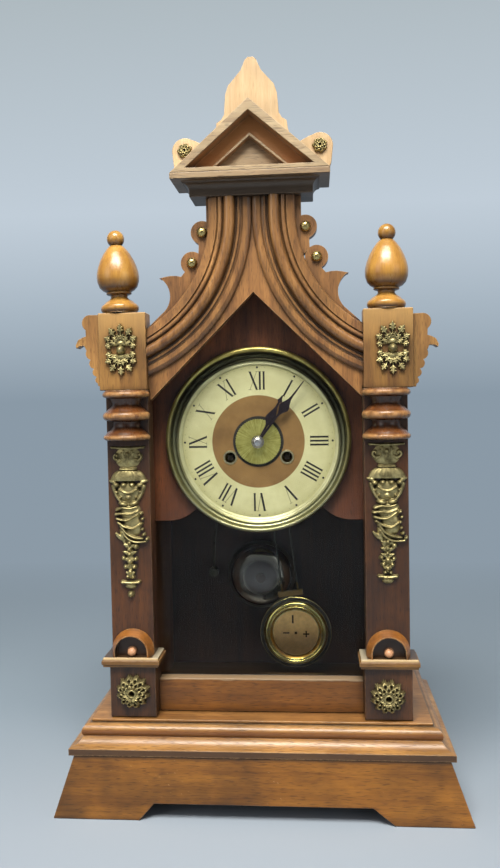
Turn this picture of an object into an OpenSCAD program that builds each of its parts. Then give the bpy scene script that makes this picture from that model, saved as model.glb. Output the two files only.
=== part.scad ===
/* [Base] */
// Width across the feet
base_w = 326; // [300:1:360]
// Depth of the base, front to back
base_d = 160; // [150:1:180]
// Height of the skirt boards
skirt_h = 51; // [46:1:60]
// Width of the skirt at its top edge
skirt_top_w = 290; // [282:1:294]
// Thickness of the skirt boards
skirt_t = 10; // [8:0.5:12]
// Width of the left foot at the floor
foot_left_w = 69; // [50:1:80]
// Width of the right foot at the floor
foot_right_w = 60; // [50:1:80]
// Height of the cut-out between the feet
cutout_h = 13.5; // [8:0.5:18]
// Height of the plinth's top face
plinth_h = 74.5; // [74:0.5:76]
// Width of the plinth's top board
plinth_top_w = 268; // [264:1:272]

/* [Case] */
// Width of the case over its side boards
case_w = 200; // [196:1:202]
// Thickness of the case boards
board_t = 8; // [6:0.5:9]
// Height at which the gable roof starts on the outer face
eaves_z = 328; // [326:0.5:330]
// Y of the front edges of the case boards
case_front_y = -29.5; // [-29.6:0.1:-29.2]

/* [Door] */
// Y of the front face of the fretted board
fret_y = -48; // [-50:0.5:-46]
// Y of the seat on which the posts and the fretted board are fixed
seat_y = -38; // [-39:0.5:-37]
// Distance from the middle to the middle of each post
post_x = 101.1; // [100.5:0.1:102]
// Width of the post shafts
shaft_w = 34; // [30:0.5:35]
// Height of the lowest point of the posts
door_z = 75; // [75:0.1:76]
// Top of the plinth blocks
block_top = 116.3; // [112:0.1:120]
// Top of the cap slabs
slab_top = 123.7; // [121:0.1:126]
// Bottom of the turning on the right post
turning_z = 294; // [290:0.5:298]
// Bottom of the right capital block
capital_z = 333.2; // [332:0.1:336]
// Top of the right capital block
capital_top = 394.2; // [390:0.1:398]
// How much higher the upper part of the left post stands
left_lift = 2; // [0:0.1:3]
// Height of the peak of the pointed opening
peak_z = 410.5; // [408:0.5:412]
// Half distance between the axes of the two arched mouldings
arch_x = 134; // [132:0.5:136]
// Height of the axes of the arched mouldings
arch_z = 471; // [468:0.5:474]
// Radius of the outer edge of the arched mouldings
arch_r = 100; // [98:0.5:102]
// Bottom of the cornice
cornice_z = 484; // [482:0.5:486]
// Half width of the cornice shelf
cornice_w = 61; // [58:0.5:62]
// Height of the pediment over its shelf
pediment_h = 53.7; // [45:0.1:56]
// Highest point of the crest
top_z = 597.5; // [590:0.5:600]
// Thickness of the glass
glass_t = 2.3; // [1.8:0.1:2.5]

/* [Dial] */
// Height of the middle of the dial
dial_z = 291.3; // [291:0.1:293]
// Height of the middle of the bezel
bezel_z = 293; // [292:0.5:294]
// Radius of the painted dial
dial_r = 66.8; // [64:0.1:67]
// Radius of the brass bezel
bezel_r = 76; // [75:0.5:78]
// Distance of the winding arbors from the middle
winding_x = 23.5; // [23:0.1:24]
// Height of the winding arbors
winding_z = 278.3; // [278:0.1:280.5]
// Length of the minute hand
minute_len = 62; // [56:1:63]
// Length of the hour hand
hour_len = 43; // [38:1:46]

/* [Movement] */
// Teeth of the going barrel
barrel_teeth = 48; // [48:1:48]
// Teeth of the centre wheel and of the third wheel
wheel_teeth = 72; // [72:1:72]
// Leaves of the third and escape pinions
pinion_leaves = 6; // [6:1:6]
// Teeth of the escape wheel
escape_teeth = 28; // [24:1:30]
// Length of the pendulum from its spring to the middle of the bob
pendulum_len = 224.7; // [215:0.1:228]
// Angle at which the pendulum hangs, measured from plumb
swing = 6.88; // [0:0.01:8]
// Radius of the pendulum bob
bob_r = 32; // [28:0.5:33]
// Radius of the bell
bell_r = 33.5; // [30:0.5:34]

/* [Hidden] */
$fn = 96;

oak = [0.60, 0.38, 0.18];
walnut = [0.42, 0.23, 0.13];
dark_wood = [0.25, 0.14, 0.10];
brass = [0.72, 0.64, 0.36];
steel = [0.55, 0.56, 0.58];
black_steel = [0.10, 0.09, 0.10];
ivory = [0.89, 0.87, 0.69];

half_d = base_d / 2;
half_w = base_w / 2;
plinth_half = plinth_top_w / 2;
case_half = case_w / 2;
case_back_y = half_d - board_t;
roof_rise = board_t * sqrt(2);
ridge_z = eaves_z + case_half;

// Shapes drawn in X and Z, and carried from y0 in front to y1 behind.
module along_y(y0, y1) {
    translate([0, y1, 0])
        rotate([90, 0, 0])
            linear_extrude(y1 - y0)
                children();
}

// Shapes drawn in Y and Z, and carried from x0 to x1.
module along_x(x0, x1) {
    translate([x0, 0, 0])
        rotate([90, 0, 90])
            linear_extrude(x1 - x0)
                children();
}

// A round bar along Y between y0 and y1, at x and z.
module bar_y(x, z, y0, y1, r) {
    translate([x, y1, z])
        rotate([90, 0, 0])
            cylinder(r = r, h = y1 - y0);
}

// A turned shape about an axis along Y: its profile is radius and distance
// towards the front from the given y.
module turned_y(x, y, z) {
    translate([x, y, z])
        rotate([90, 0, 0])
            rotate_extrude()
                children();
}

// A round rod between two points.
module rod(a, b, r) {
    d = b - a;
    len = norm(d);
    translate(a)
        rotate([0, acos(d[2] / len), atan2(d[1], d[0])])
            cylinder(r = r, h = len);
}

module both_sides() {
    children();
    mirror([1, 0, 0])
        children();
}

// Pieces of the posts' upper part, which stands a little higher on the left.
module both_posts() {
    children();
    translate([0, 0, left_lift])
        mirror([1, 0, 0])
            children();
}

// Points of an arc about [cx, cy], from angle a0 to a1.
function arc(cx, cy, r, a0, a1, n = 9) =
    [for (i = [0:n]) let (a = a0 + (a1 - a0) * i / n) [cx + r * cos(a), cy + r * sin(a)]];

// A toothed outline about the origin, with one tooth's middle at the angle phase.
module toothed(teeth, m, phase, tooth = 0.40, tip = 0.16) {
    pitch_r = m * teeth / 2;
    root_r = pitch_r - 1.3 * m;
    tip_r = pitch_r + 0.8 * m;
    half = 180 / teeth;
    polygon([for (i = [0:teeth - 1]) let (a = phase + i * 2 * half) each [
        [root_r * cos(a - 0.55 * half), root_r * sin(a - 0.55 * half)],
        [pitch_r * cos(a - tooth * half), pitch_r * sin(a - tooth * half)],
        [tip_r * cos(a - tip * half), tip_r * sin(a - tip * half)],
        [tip_r * cos(a + tip * half), tip_r * sin(a + tip * half)],
        [pitch_r * cos(a + tooth * half), pitch_r * sin(a + tooth * half)],
        [root_r * cos(a + 0.55 * half), root_r * sin(a + 0.55 * half)]
    ]]);
}

// The phase that brings a second toothed outline into mesh with a first one.
// The angle of the line from the first to the second is line.
function in_mesh(line, phase, teeth_1, teeth_2) =
    line + 180 + 180 / teeth_2 - (phase - line) * teeth_1 / teeth_2;

// Four round windows that leave the arms of a wheel.
module windows(at_r, r) {
    for (a = [45:90:315])
        rotate(a)
            translate([at_r, 0])
                circle(r = r);
}

// Base

left_in = foot_left_w - half_w;
right_in = half_w - foot_right_w;
left_slope = 11.5;
right_slope = 16.5;

module skirt_outline() {
    polygon([
        [-half_w, 0], [left_in, 0], [left_in + left_slope, cutout_h],
        [right_in - right_slope, cutout_h], [right_in, 0], [half_w, 0],
        [skirt_top_w / 2, skirt_h], [-skirt_top_w / 2, skirt_h]
    ]);
}

skirt_front_y = -half_d + 0.5;

module skirt_front() {
    color(oak)
        along_y(skirt_front_y, skirt_front_y + skirt_t)
            skirt_outline();
}

board_z = plinth_h - 12;

// The boards that return along the sides, and the board behind, which carries a rail.
module skirt_returns() {
    y = -skirt_front_y - skirt_t;
    foot = 34;
    slope = 13;
    joint_gap = 0.05;
    rail_half = plinth_half - moulding_in - joint_gap;
    color(oak) {
        along_y(y + joint_gap, -skirt_front_y)
            union() {
                skirt_outline();
                translate([-rail_half, skirt_h - 1])
                    square([2 * rail_half, board_z - skirt_h + 1]);
            }
        both_sides()
            difference() {
                along_y(-y, y)
                    polygon([
                        [half_w - skirt_t, 0], [half_w, 0], [skirt_top_w / 2, skirt_h],
                        [skirt_top_w / 2 - skirt_t, skirt_h]
                    ]);
                along_x(half_w / 2, half_w + 1)
                    polygon([
                        [-foot, -1], [-foot, 0], [slope - foot, cutout_h],
                        [foot - slope, cutout_h], [foot, 0], [foot, -1]
                    ]);
            }
    }
}

// The plinth moulding's profile: how far it stands out, and its height.
fascia_out = 15;
fascia_top = skirt_h + 5;
lip_z = plinth_h - 2.2;
plinth_front_y = -half_d + fascia_out;
moulding_in = 8.5;
ogee = concat(
    [[fascia_out, skirt_h], [fascia_out, fascia_top]],
    arc(15, 66.6, 10, 265, 200),
    arc(1.4, 66.6, 5.3, -40, 86),
    [[1, 72], [1, lip_z]]
);

module plinth_moulding() {
    last = len(ogee) - 1;
    right = [for (p = ogee) [plinth_half + p[0], p[1]]];
    left = [for (i = [last:-1:0]) [-plinth_half - ogee[i][0], ogee[i][1]]];
    front = [for (i = [last:-1:0]) [plinth_front_y - ogee[i][0], ogee[i][1]]];
    color(oak)
        difference() {
            intersection() {
                along_y(-half_d - 1, half_d)
                    polygon(concat(right, left));
                along_x(-half_w, half_w)
                    polygon(concat([[half_d, skirt_h], [half_d, lip_z]], front));
            }
            translate([-plinth_half + moulding_in, plinth_front_y + moulding_in, skirt_h - 1])
                cube([2 * (plinth_half - moulding_in), base_d, skirt_h]);
        }
}

module plinth_board() {
    in = plinth_half - moulding_in;
    color(oak)
        union() {
            translate([-in, plinth_front_y + moulding_in, board_z])
                cube([2 * in, half_d - plinth_front_y - moulding_in, 11]);
            translate([-plinth_half, plinth_front_y, lip_z])
                cube([plinth_top_w, half_d - plinth_front_y, plinth_h - lip_z]);
        }
}

// Case

module case_sides() {
    color(oak)
        both_sides()
            along_y(case_front_y, case_back_y)
                polygon([
                    [case_half - board_t, plinth_h], [case_half, plinth_h],
                    [case_half, eaves_z], [case_half - board_t, eaves_z + board_t]
                ]);
}

module back_board() {
    color(dark_wood)
        along_y(case_back_y, half_d)
            polygon([
                [-case_half, plinth_h], [case_half, plinth_h],
                [case_half, eaves_z + roof_rise], [0, ridge_z + roof_rise],
                [-case_half, eaves_z + roof_rise]
            ]);
}

module roof_boards() {
    eaves_out = 3;
    ridge_gap = 0.05;
    color(oak)
        both_sides()
            along_y(case_front_y, case_back_y)
                polygon([
                    [case_half + eaves_out, eaves_z - eaves_out],
                    [case_half + eaves_out, eaves_z - eaves_out + roof_rise],
                    [ridge_gap, ridge_z + roof_rise - ridge_gap],
                    [ridge_gap, ridge_z - ridge_gap]
                ]);
}

// Dial

dial_board_y = -22;
dial_board_t = 5;
dial_face_y = dial_board_y - 1;

module dial_board() {
    in = case_half - board_t - 0.3;
    foot_z = 226;
    foot_x = 76;
    foot_r = 32;
    arbor_r = 6.5;
    color(dark_wood)
        along_y(dial_board_y, dial_board_y + dial_board_t)
            difference() {
                union() {
                    polygon(concat(
                        [[-in, foot_z]],
                        arc(-foot_x, foot_z + foot_r, foot_r, -90, -20, 12),
                        arc(foot_x, foot_z + foot_r, foot_r, -160, -90, 12),
                        [[in, foot_z], [in, ridge_z - 0.6 - in], [0, ridge_z - 0.6],
                        [-in, ridge_z - 0.6 - in]]
                    ));
                    translate([0, bezel_z])
                        circle(r = bezel_r - 2);
                }
                translate([0, dial_z])
                    circle(r = arbor_r);
                for (s = [-1, 1])
                    translate([s * winding_x, winding_z])
                        circle(r = arbor_r);
            }
}

// The dial lies a little low in its bezel, under whose lip its edge is hidden.
plate_r = dial_r + 1.2;

module dial_plate() {
    color(ivory)
        along_y(dial_face_y, dial_board_y)
            difference() {
                translate([0, dial_z])
                    circle(r = plate_r);
                translate([0, dial_z])
                    circle(r = 5.5);
                for (s = [-1, 1])
                    translate([s * winding_x, winding_z])
                        circle(r = 5);
            }
}

module dial_bezel() {
    in = dial_r - 0.8;
    rebate_r = plate_r + bezel_z - dial_z + 0.3;
    color(brass)
        turned_y(0, dial_board_y, bezel_z)
            polygon(concat(
                [[rebate_r, 0], [bezel_r - 1, 0]],
                arc(bezel_r - 2, 7, 2, 0, 180, 10),
                arc(bezel_r - 4, 9.5, 7, 268, 212, 8),
                [[in, 5], [in, 1.3], [rebate_r, 1.3]]
            ));
}

module winding_eyelets() {
    color(brass)
        for (s = [-1, 1])
            turned_y(s * winding_x, dial_board_y, winding_z)
                polygon([[4.4, -1], [4.95, -1], [4.95, 1.05], [6, 1.05], [5.6, 1.7], [4.4, 1.7]]);
}

// Movement: the plates stand behind the dial board, and the arbors run between them

front_plate_y = -8.5;
back_plate_y = 20;
plate_t = 1.5;
plates_low = 254.3;
plates_high = 350.3;
pivot_gap = 0.05;
arbor_r = 1.2;
pivot_r = 0.7;
winding_r = 3.2;
centre = [0, dial_z];
going = [winding_x, winding_z];
alarm = [-winding_x, winding_z];
barrel_m = 2 * norm(going - centre) / (barrel_teeth + 8);
centre_m = 0.5;
third_m = 0.45;
third_dist = centre_m * (wheel_teeth + pinion_leaves) / 2;
escape_dist = third_m * (wheel_teeth + pinion_leaves) / 2;
third = centre + third_dist * [-0.5, sqrt(3) / 2];
escape = [0, third[1] + sqrt(escape_dist * escape_dist - third[0] * third[0])];
pallet = [0, escape[1] + 17.5];
minute = centre - [0, 12];
hammer = [-36, 260.3];
pillars = [[-40, 343.3], [40, 343.3], [42.5, 257.8], [-12, 258.3]];
feet = [[-40, 298.3], [40, 298.3], [-40, 343.3], [40, 343.3]];

module plate_outline() {
    difference() {
        translate([-46, plates_low])
            square([92, plates_high - plates_low]);
        translate(centre)
            circle(r = arbor_r + pivot_gap);
        for (p = [going, alarm])
            translate(p)
                circle(r = winding_r + pivot_gap);
        for (p = [third, escape])
            translate(p)
                circle(r = pivot_r + pivot_gap);
        for (p = [pallet, hammer])
            translate(p)
                circle(r = arbor_r + pivot_gap);
    }
}

module front_plate() {
    color(brass) {
        along_y(front_plate_y, front_plate_y + plate_t)
            plate_outline();
        bar_y(minute[0], minute[1], -16, front_plate_y + 0.5, 1);
    }
}

module back_plate() {
    color(brass)
        along_y(back_plate_y, back_plate_y + plate_t)
            plate_outline();
}

// The pillars between the plates, and the feet that stand on the dial board.
module plate_pillars() {
    color(brass) {
        for (p = pillars)
            bar_y(p[0], p[1], front_plate_y + plate_t, back_plate_y, 3);
        for (p = feet)
            bar_y(p[0], p[1], dial_board_y + dial_board_t, front_plate_y, 2.5);
    }
}

barrel_phase = 0;
centre_phase = in_mesh(atan2(centre[1] - going[1], centre[0] - going[0]), barrel_phase, barrel_teeth, 8);
third_phase = in_mesh(120, 0, wheel_teeth, pinion_leaves);
escape_line = atan2(escape[1] - third[1], escape[0] - third[0]);
escape_phase = in_mesh(escape_line, 0, wheel_teeth, pinion_leaves);
minute_phase = in_mesh(-90, 0, 12, 36);
hour_phase = in_mesh(90, 0, 10, 40);

// The edge of a wound spring: turns of a flat strip, from r0 out to r1.
module spring_strip(r0, r1, turns, t) {
    steps = 16 * turns;
    inner = [for (i = [0:steps]) let (r = r0 + (r1 - r0) * i / steps, a = i * 22.5)
        [r * cos(a), r * sin(a)]];
    outer = [for (i = [steps:-1:0]) let (r = r0 + t + (r1 - r0) * i / steps, a = i * 22.5)
        [r * cos(a), r * sin(a)]];
    polygon(concat(inner, outer));
}

drum_len = 11;

// A drum on its arbor, with a toothed flange in front and the mainspring inside.
module barrel(at, teeth, m, phase, r, flange_y, turns) {
    bore = winding_r + pivot_gap;
    drum_y = flange_y + 2;
    translate([at[0], 0, at[1]]) {
        along_y(flange_y, drum_y)
            difference() {
                toothed(teeth, m, phase);
                circle(r = bore);
            }
        difference() {
            along_y(drum_y, drum_y + drum_len)
                difference() {
                    circle(r = r);
                    circle(r = bore);
                }
            along_y(drum_y + 1, drum_y + drum_len - 1)
                difference() {
                    circle(r = r - 1);
                    circle(r = bore + 1);
                }
        }
        along_y(drum_y + 1.5, drum_y + drum_len - 1.5)
            spring_strip(bore + 1.6, r - 2.2, turns, 0.7);
    }
}

module going_barrel() {
    color(brass)
        barrel(going, barrel_teeth, barrel_m, barrel_phase, 19, -5.5, 6);
}

module alarm_barrel() {
    color(brass)
        barrel(alarm, 20, 1.5, 9, 13, -6, 3);
}

// A squared winding arbor that stands in both plates.
module winding_arbor(at) {
    square_w = 4.2;
    color(steel)
        union() {
            bar_y(at[0], at[1], front_plate_y - 1, back_plate_y + plate_t + 0.5, winding_r);
            translate([at[0] - square_w / 2, dial_face_y + 1.5, at[1] - square_w / 2])
                cube([square_w, -dial_face_y - 9, square_w]);
        }
}

module time_winding_arbor() {
    winding_arbor(going);
}

module alarm_winding_arbor() {
    winding_arbor(alarm);
}

module centre_wheel() {
    color(brass)
        union() {
            bar_y(centre[0], centre[1], -32, back_plate_y + plate_t + 0.5, arbor_r);
            turned_y(centre[0], -29.9, centre[1])
                polygon([[0, 0], [3.4, 0], [3.4, 1], [2.8, 2], [1.6, 2.6], [0, 2.6]]);
            translate([centre[0], 0, centre[1]]) {
                along_y(8.5, 9.7)
                    difference() {
                        toothed(wheel_teeth, centre_m, 0);
                        windows(10.5, 4.2);
                    }
                along_y(-6.5, -3)
                    toothed(8, barrel_m, centre_phase);
            }
        }
}

module third_wheel() {
    color(brass)
        union() {
            bar_y(third[0], third[1], front_plate_y + 0.2, back_plate_y + plate_t - 0.2, pivot_r);
            translate([third[0], 0, third[1]]) {
                along_y(13, 14.2)
                    difference() {
                        toothed(wheel_teeth, third_m, 0);
                        windows(9.5, 3.8);
                    }
                along_y(7.8, 13)
                    toothed(pinion_leaves, centre_m, third_phase);
            }
        }
}

module escape_wheel() {
    tip_r = 11;
    root_r = 8.6;
    step = 360 / escape_teeth;
    color(brass)
        union() {
            bar_y(escape[0], escape[1], front_plate_y + 0.2, back_plate_y + plate_t - 0.2, pivot_r);
            translate([escape[0], 0, escape[1]]) {
                along_y(17, 18.2)
                    difference() {
                        polygon([for (i = [0:escape_teeth - 1]) each [
                            [root_r * cos(i * step), root_r * sin(i * step)],
                            [tip_r * cos((i + 0.35) * step), tip_r * sin((i + 0.35) * step)],
                            [tip_r * cos((i + 0.45) * step), tip_r * sin((i + 0.45) * step)],
                            [root_r * cos((i + 0.5) * step), root_r * sin((i + 0.5) * step)]
                        ]]);
                        windows(5.4, 1.9);
                    }
                along_y(12.5, 17)
                    toothed(pinion_leaves, third_m, escape_phase);
            }
        }
}

// The pallets and their crutch, drawn plumb and turned to the pendulum's angle.
crutch_y = 25;
yoke_z = -30;
crutch_pin_r = 0.9;

module pallets() {
    color(steel)
        translate([pallet[0], 0, pallet[1]])
            rotate([0, -swing, 0]) {
                bar_y(0, 0, front_plate_y + 0.2, crutch_y, arbor_r);
                along_y(16.8, 18.4)
                    polygon([
                        [-10, -7.2], [-9, -7.5], [-6.6, -1.6], [6.6, -1.6], [9, -7.5], [10, -7.2],
                        [8, 1.6], [2, 3], [-2, 3], [-8, 1.6]
                    ]);
                along_y(crutch_y - 1.5, crutch_y)
                    polygon([[-1.6, yoke_z - 2], [1.6, yoke_z - 2], [2.2, 2], [-2.2, 2]]);
                bar_y(0, yoke_z, crutch_y - 0.5, crutch_y + 6, crutch_pin_r);
            }
}

// The motion work and the hands turn on the centre arbor, in front of the plate

cannon_in = arbor_r + 0.08;
cannon_out = 2.1;
hour_in = cannon_out + 0.08;
hour_out = 3.3;
disc_in = hour_out + 0.08;
disc_out = 4.7;

module pipe(r_in, r_out, y0, y1) {
    along_y(y0, y1)
        translate(centre)
            difference() {
                circle(r = r_out);
                circle(r = r_in);
            }
}

module cannon_pinion() {
    color(brass)
        union() {
            pipe(cannon_in, cannon_out, -29.6, -9.2);
            along_y(-11.5, -9.7)
                translate(centre)
                    difference() {
                        toothed(12, centre_m, 0);
                        circle(r = cannon_in);
                    }
        }
}

module hour_wheel() {
    color(brass)
        union() {
            pipe(hour_in, hour_out, -27.2, -12.6);
            along_y(-14.6, -13.2)
                translate(centre)
                    difference() {
                        toothed(40, 0.48, hour_phase);
                        circle(r = hour_in);
                    }
        }
}

module minute_wheel() {
    bore = 1.05;
    color(brass)
        translate([minute[0], 0, minute[1]])
            union() {
                along_y(-11.3, -9.9)
                    difference() {
                        toothed(36, centre_m, minute_phase);
                        circle(r = bore);
                    }
                along_y(-15.4, -11.3)
                    difference() {
                        toothed(10, 0.48, 0);
                        circle(r = bore);
                    }
            }
}

// The hands are drawn upwards from the middle of the dial, and turned clockwise.
minute_angle = 38;
hour_angle = 29;

function both_edges(right) =
    concat(right, [for (i = [len(right) - 1:-1:0]) [-right[i][0], right[i][1]]]);

module minute_hand() {
    edge = [
        [1.1, 0], [0.8, 26], [1, 28.6], [2.2, 31], [4.4, 34.6], [4.1, 37], [2.5, 40], [1.2, 43.5],
        [0.8, 47], [0.45, minute_len]
    ];
    color(black_steel)
        translate([0, 0, dial_z])
            rotate([0, minute_angle, 0])
                along_y(-29.4, -28.6)
                    difference() {
                        union() {
                            circle(r = 3.8);
                            polygon(both_edges(edge));
                        }
                        circle(r = cannon_out);
                    }
}

module hour_hand() {
    edge = [
        [1.1, 0], [0.8, 14], [1.2, 16], [4.3, 20.8], [4.1, 23.2], [2.4, 27.5], [1, 32],
        [0.8, 36.5], [2.2, 38], [1.1, 40], [0.4, hour_len]
    ];
    color(black_steel)
        translate([0, 0, dial_z])
            rotate([0, hour_angle, 0])
                along_y(-27, -26.2)
                    difference() {
                        union() {
                            circle(r = 4.8);
                            polygon(both_edges(edge));
                        }
                        circle(r = hour_out);
                    }
}

module alarm_disc() {
    color(brass)
        union() {
            pipe(disc_in, disc_out, -24.6, -16.4);
            along_y(-25.2, -24.4)
                translate(centre)
                    difference() {
                        polygon([for (i = [0:119]) let (r = i % 2 == 0 ? 18.9 : 18.2)
                            [r * cos(i * 3), r * sin(i * 3)]]);
                        circle(r = disc_in);
                    }
        }
}

// Pendulum, bell and hammer

pendulum_y = 28.5;
spring_z = pallet[1];
rod_gap = 7;
bar_up = 36;

module hung() {
    translate([0, 0, spring_z])
        rotate([0, -swing, 0])
            children();
}

module suspension_cock() {
    color(brass)
        union() {
            translate([-7, back_plate_y + plate_t, spring_z + 4])
                cube([14, 10, 5]);
            translate([-3, pendulum_y - 2, spring_z + 1])
                cube([6, 1.4, 4]);
            translate([-3, pendulum_y + 0.6, spring_z + 1])
                cube([6, 1.4, 4]);
        }
}

module pendulum_rod() {
    top = -14;
    low = -pendulum_len + bar_up;
    color(steel)
        hung() {
            difference() {
                translate([-rod_gap - 0.8, pendulum_y - 1.3, yoke_z - 3])
                    cube([2 * rod_gap + 1.6, 2.6, 6]);
                bar_y(0, yoke_z, pendulum_y - 2, pendulum_y + 2, crutch_pin_r + 0.2);
            }
            translate([-2.5, pendulum_y - 0.3, top])
                cube([5, 0.6, 3 - top]);
            translate([-9, pendulum_y - 1.3, top - 4])
                cube([18, 2.6, 4.5]);
            for (s = [-1, 1])
                translate([s * rod_gap, pendulum_y, low - 2])
                    cylinder(r = 0.8, h = top - 2 - low, $fn = 24);
            translate([-11, pendulum_y - 1.6, low - 2.6])
                cube([22, 3.2, 4.6]);
            translate([-1.6, pendulum_y - 1, bob_r - pendulum_len])
                cube([3.2, 2, low - 2 - bob_r + pendulum_len]);
        }
}

module at_bob() {
    hung()
        translate([0, pendulum_y, -pendulum_len])
            rotate([90, 0, 0])
                children();
}

module pendulum_bob() {
    rim = 4.5;
    seat_r = 20.5;
    color(brass)
        at_bob()
            difference() {
                rotate_extrude()
                    polygon([
                        [0, -3], [bob_r - 6, -3], [bob_r - 0.5, -1], [bob_r, 0],
                        [bob_r - 1, 1.2], [27.2, 1.8], [26.4, 3.6], [24.8, rim], [22.6, rim - 0.6],
                        [21.6, 2.6], [seat_r, 2.6], [seat_r, 1.2], [0, 1.2]
                    ]);
                translate([0, 0, -4])
                    cylinder(r = 1.6, h = 8);
            }
}

module regulator_disc() {
    color([0.75, 0.52, 0.30])
        at_bob()
            union() {
                translate([0, 0, 1.5])
                    cylinder(r = 20.2, h = 1);
                translate([0, 0, -2.6])
                    cylinder(r = 1.55, h = 4.6);
            }
}

bell_at = [-5.2, 162.4];
bell_rim_y = 62;
stand_r = 2.5;

module bell() {
    color(steel)
        turned_y(bell_at[0], bell_rim_y, bell_at[1])
            polygon(concat(
                [[stand_r, 15], [26, 13.4]],
                arc(26, 6.4, 7, 88, 8, 8),
                [[bell_r - 0.4, 0], [bell_r - 1.6, 0]],
                arc(25.6, 5.8, 6, 8, 88, 8),
                [[stand_r, 13.6]]
            ));
}

module bell_stand() {
    color(steel)
        union() {
            bar_y(bell_at[0], bell_at[1], bell_rim_y - 19, case_back_y, stand_r - 0.1);
            bar_y(bell_at[0], bell_at[1], bell_rim_y - 17.5, bell_rim_y - 15.1, 4.5);
            bar_y(bell_at[0], bell_at[1], bell_rim_y - 13.4, case_back_y, 4);
            bar_y(bell_at[0], bell_at[1], case_back_y - 2, case_back_y, 11);
        }
}

hammer_head = [-49.2, 55, 166.1];
head_len = 7;
head_r = 4.4;

module alarm_hammer() {
    tail_y = -5.8;
    knee = [-44, 24, 200];
    color(steel)
        union() {
            bar_y(hammer[0], hammer[1], front_plate_y + 0.2, 24, arbor_r);
            rod([hammer[0], 23, hammer[1]], knee, 0.9);
            translate(knee)
                sphere(r = 1.1, $fn = 24);
            rod(knee, hammer_head, 0.9);
            bar_y(
                hammer_head[0], hammer_head[2],
                hammer_head[1] - head_len / 2, hammer_head[1] + head_len / 2, head_r
            );
            translate([0, tail_y, 0])
                along_y(0, 1.4)
                    translate(hammer)
                        polygon([[-2.2, -2.2], [2.2, -2.2], [0.6, 3.6], [-2.2, 2.2]]);
        }
}

// Hinges and hook

hinge_x = 103;
hinge_y = -27;
knuckle_r = 2.6;
leaf_t = 1.2;
leaf_w = 12;
leaf_clear = 3;
hinge_len = 36;
hinge_zs = [110, 278];
pin_r = 1.2;
knuckle_gap = 0.2;
part_len = hinge_len / 3;

module knuckle(z, h, r_in) {
    translate([hinge_x, hinge_y, z])
        difference() {
            cylinder(r = knuckle_r, h = h);
            translate([0, 0, -1])
                cylinder(r = r_in, h = h + 2);
        }
}

module hinge_case_leaves() {
    color(brass)
        for (z = hinge_zs)
            union() {
                translate([case_half, hinge_y + leaf_clear, z])
                    cube([leaf_t, leaf_w, hinge_len]);
                for (k = [0, 2])
                    translate([0, 0, z + k * part_len])
                        union() {
                            translate([hinge_x, hinge_y, 0])
                                cylinder(r = knuckle_r, h = part_len);
                            translate([case_half, hinge_y, 0])
                                cube([hinge_x - case_half, leaf_clear + 0.5, part_len]);
                        }
                translate([hinge_x, hinge_y, z])
                    cylinder(r = pin_r, h = hinge_len);
            }
}

module hinge_door_leaves() {
    arm_w = 3.4;
    color(brass)
        for (z = hinge_zs)
            union() {
                knuckle(z + part_len + knuckle_gap, part_len - 2 * knuckle_gap, pin_r + pivot_gap);
                difference() {
                    translate([hinge_x, frame_back_y, z + part_len + knuckle_gap])
                        cube([arm_w, frame_back_y - hinge_y + 6, part_len - 2 * knuckle_gap]);
                    translate([hinge_x, hinge_y, z])
                        cylinder(r = knuckle_r - 0.2, h = hinge_len);
                }
                translate([hinge_x + arm_w - 0.2, frame_back_y, z])
                    cube([leaf_w, leaf_t, hinge_len]);
            }
}

hook_z = 222;
hook_pivot_y = 2;
hook_x = -case_half - 2.6;
hook_t = 1.6;
hook_reach = 24;

// The hook hangs straight down. It turns back, up and over to catch the pin on the door.
module latch_hook() {
    color(brass)
        translate([hook_x, hook_pivot_y, hook_z])
            union() {
                along_x(-hook_t / 2, hook_t / 2)
                    difference() {
                        union() {
                            circle(r = 4);
                            translate([-2, -hook_reach - 3.4])
                                square([4, hook_reach + 3.4]);
                            translate([-2, -hook_reach - 3.4])
                                square([6.5, 6.8]);
                        }
                        circle(r = 1.28);
                        translate([-0.2, -hook_reach - 1.8])
                            square([5, 3.6]);
                    }
            }
}

module hook_screw() {
    color(steel)
        translate([0, hook_pivot_y, hook_z])
            rotate([0, -90, 0])
                translate([0, 0, case_half])
                    union() {
                        cylinder(r = 3, h = 1.6);
                        cylinder(r = 1.2, h = 5);
                        translate([0, 0, 3.6])
                            cylinder(r = 3, h = 1.6);
                    }
}

// The pin on the door, over which the hook drops.
module catch_pin() {
    pin_y = hook_pivot_y - hook_reach;
    color(brass)
        union() {
            translate([-110, frame_back_y, hook_z - 3.4])
                cube([4, pin_y + 2 - frame_back_y, 4.4]);
            translate([-106.5, pin_y, hook_z - 1.2])
                rotate([0, 90, 0])
                    cylinder(r = 1.1, h = 5.5);
        }
}

// Posts of the door

block_in = 82.2;
block_out = 119.1;
block_y = -61.8;

module plinth_blocks() {
    color(walnut)
        both_sides()
            translate([block_in, block_y, door_z])
                cube([block_out - block_in, seat_y - block_y, block_top - door_z]);
}

// Each layer of a cap slab: how far it stands out, its bottom above the block, its thickness.
cap_layers = [[3, 0, 2], [4, 2, 3.4], [2.8, 5.4, slab_top - block_top - 5.4]];

module plinth_caps() {
    outer_more = 1.5;
    front_more = 1.1;
    color(oak)
        both_sides()
            union()
                for (layer = cap_layers)
                    translate([
                        block_in - layer[0], block_y - layer[0] - front_more, block_top + layer[1]
                    ])
                        cube([
                            block_out - block_in + 2 * layer[0] + outer_more,
                            seat_y - block_y + layer[0] + front_more, layer[2]
                        ]);
}

hood_front_y = -65;
shaft_y = -56;

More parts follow.
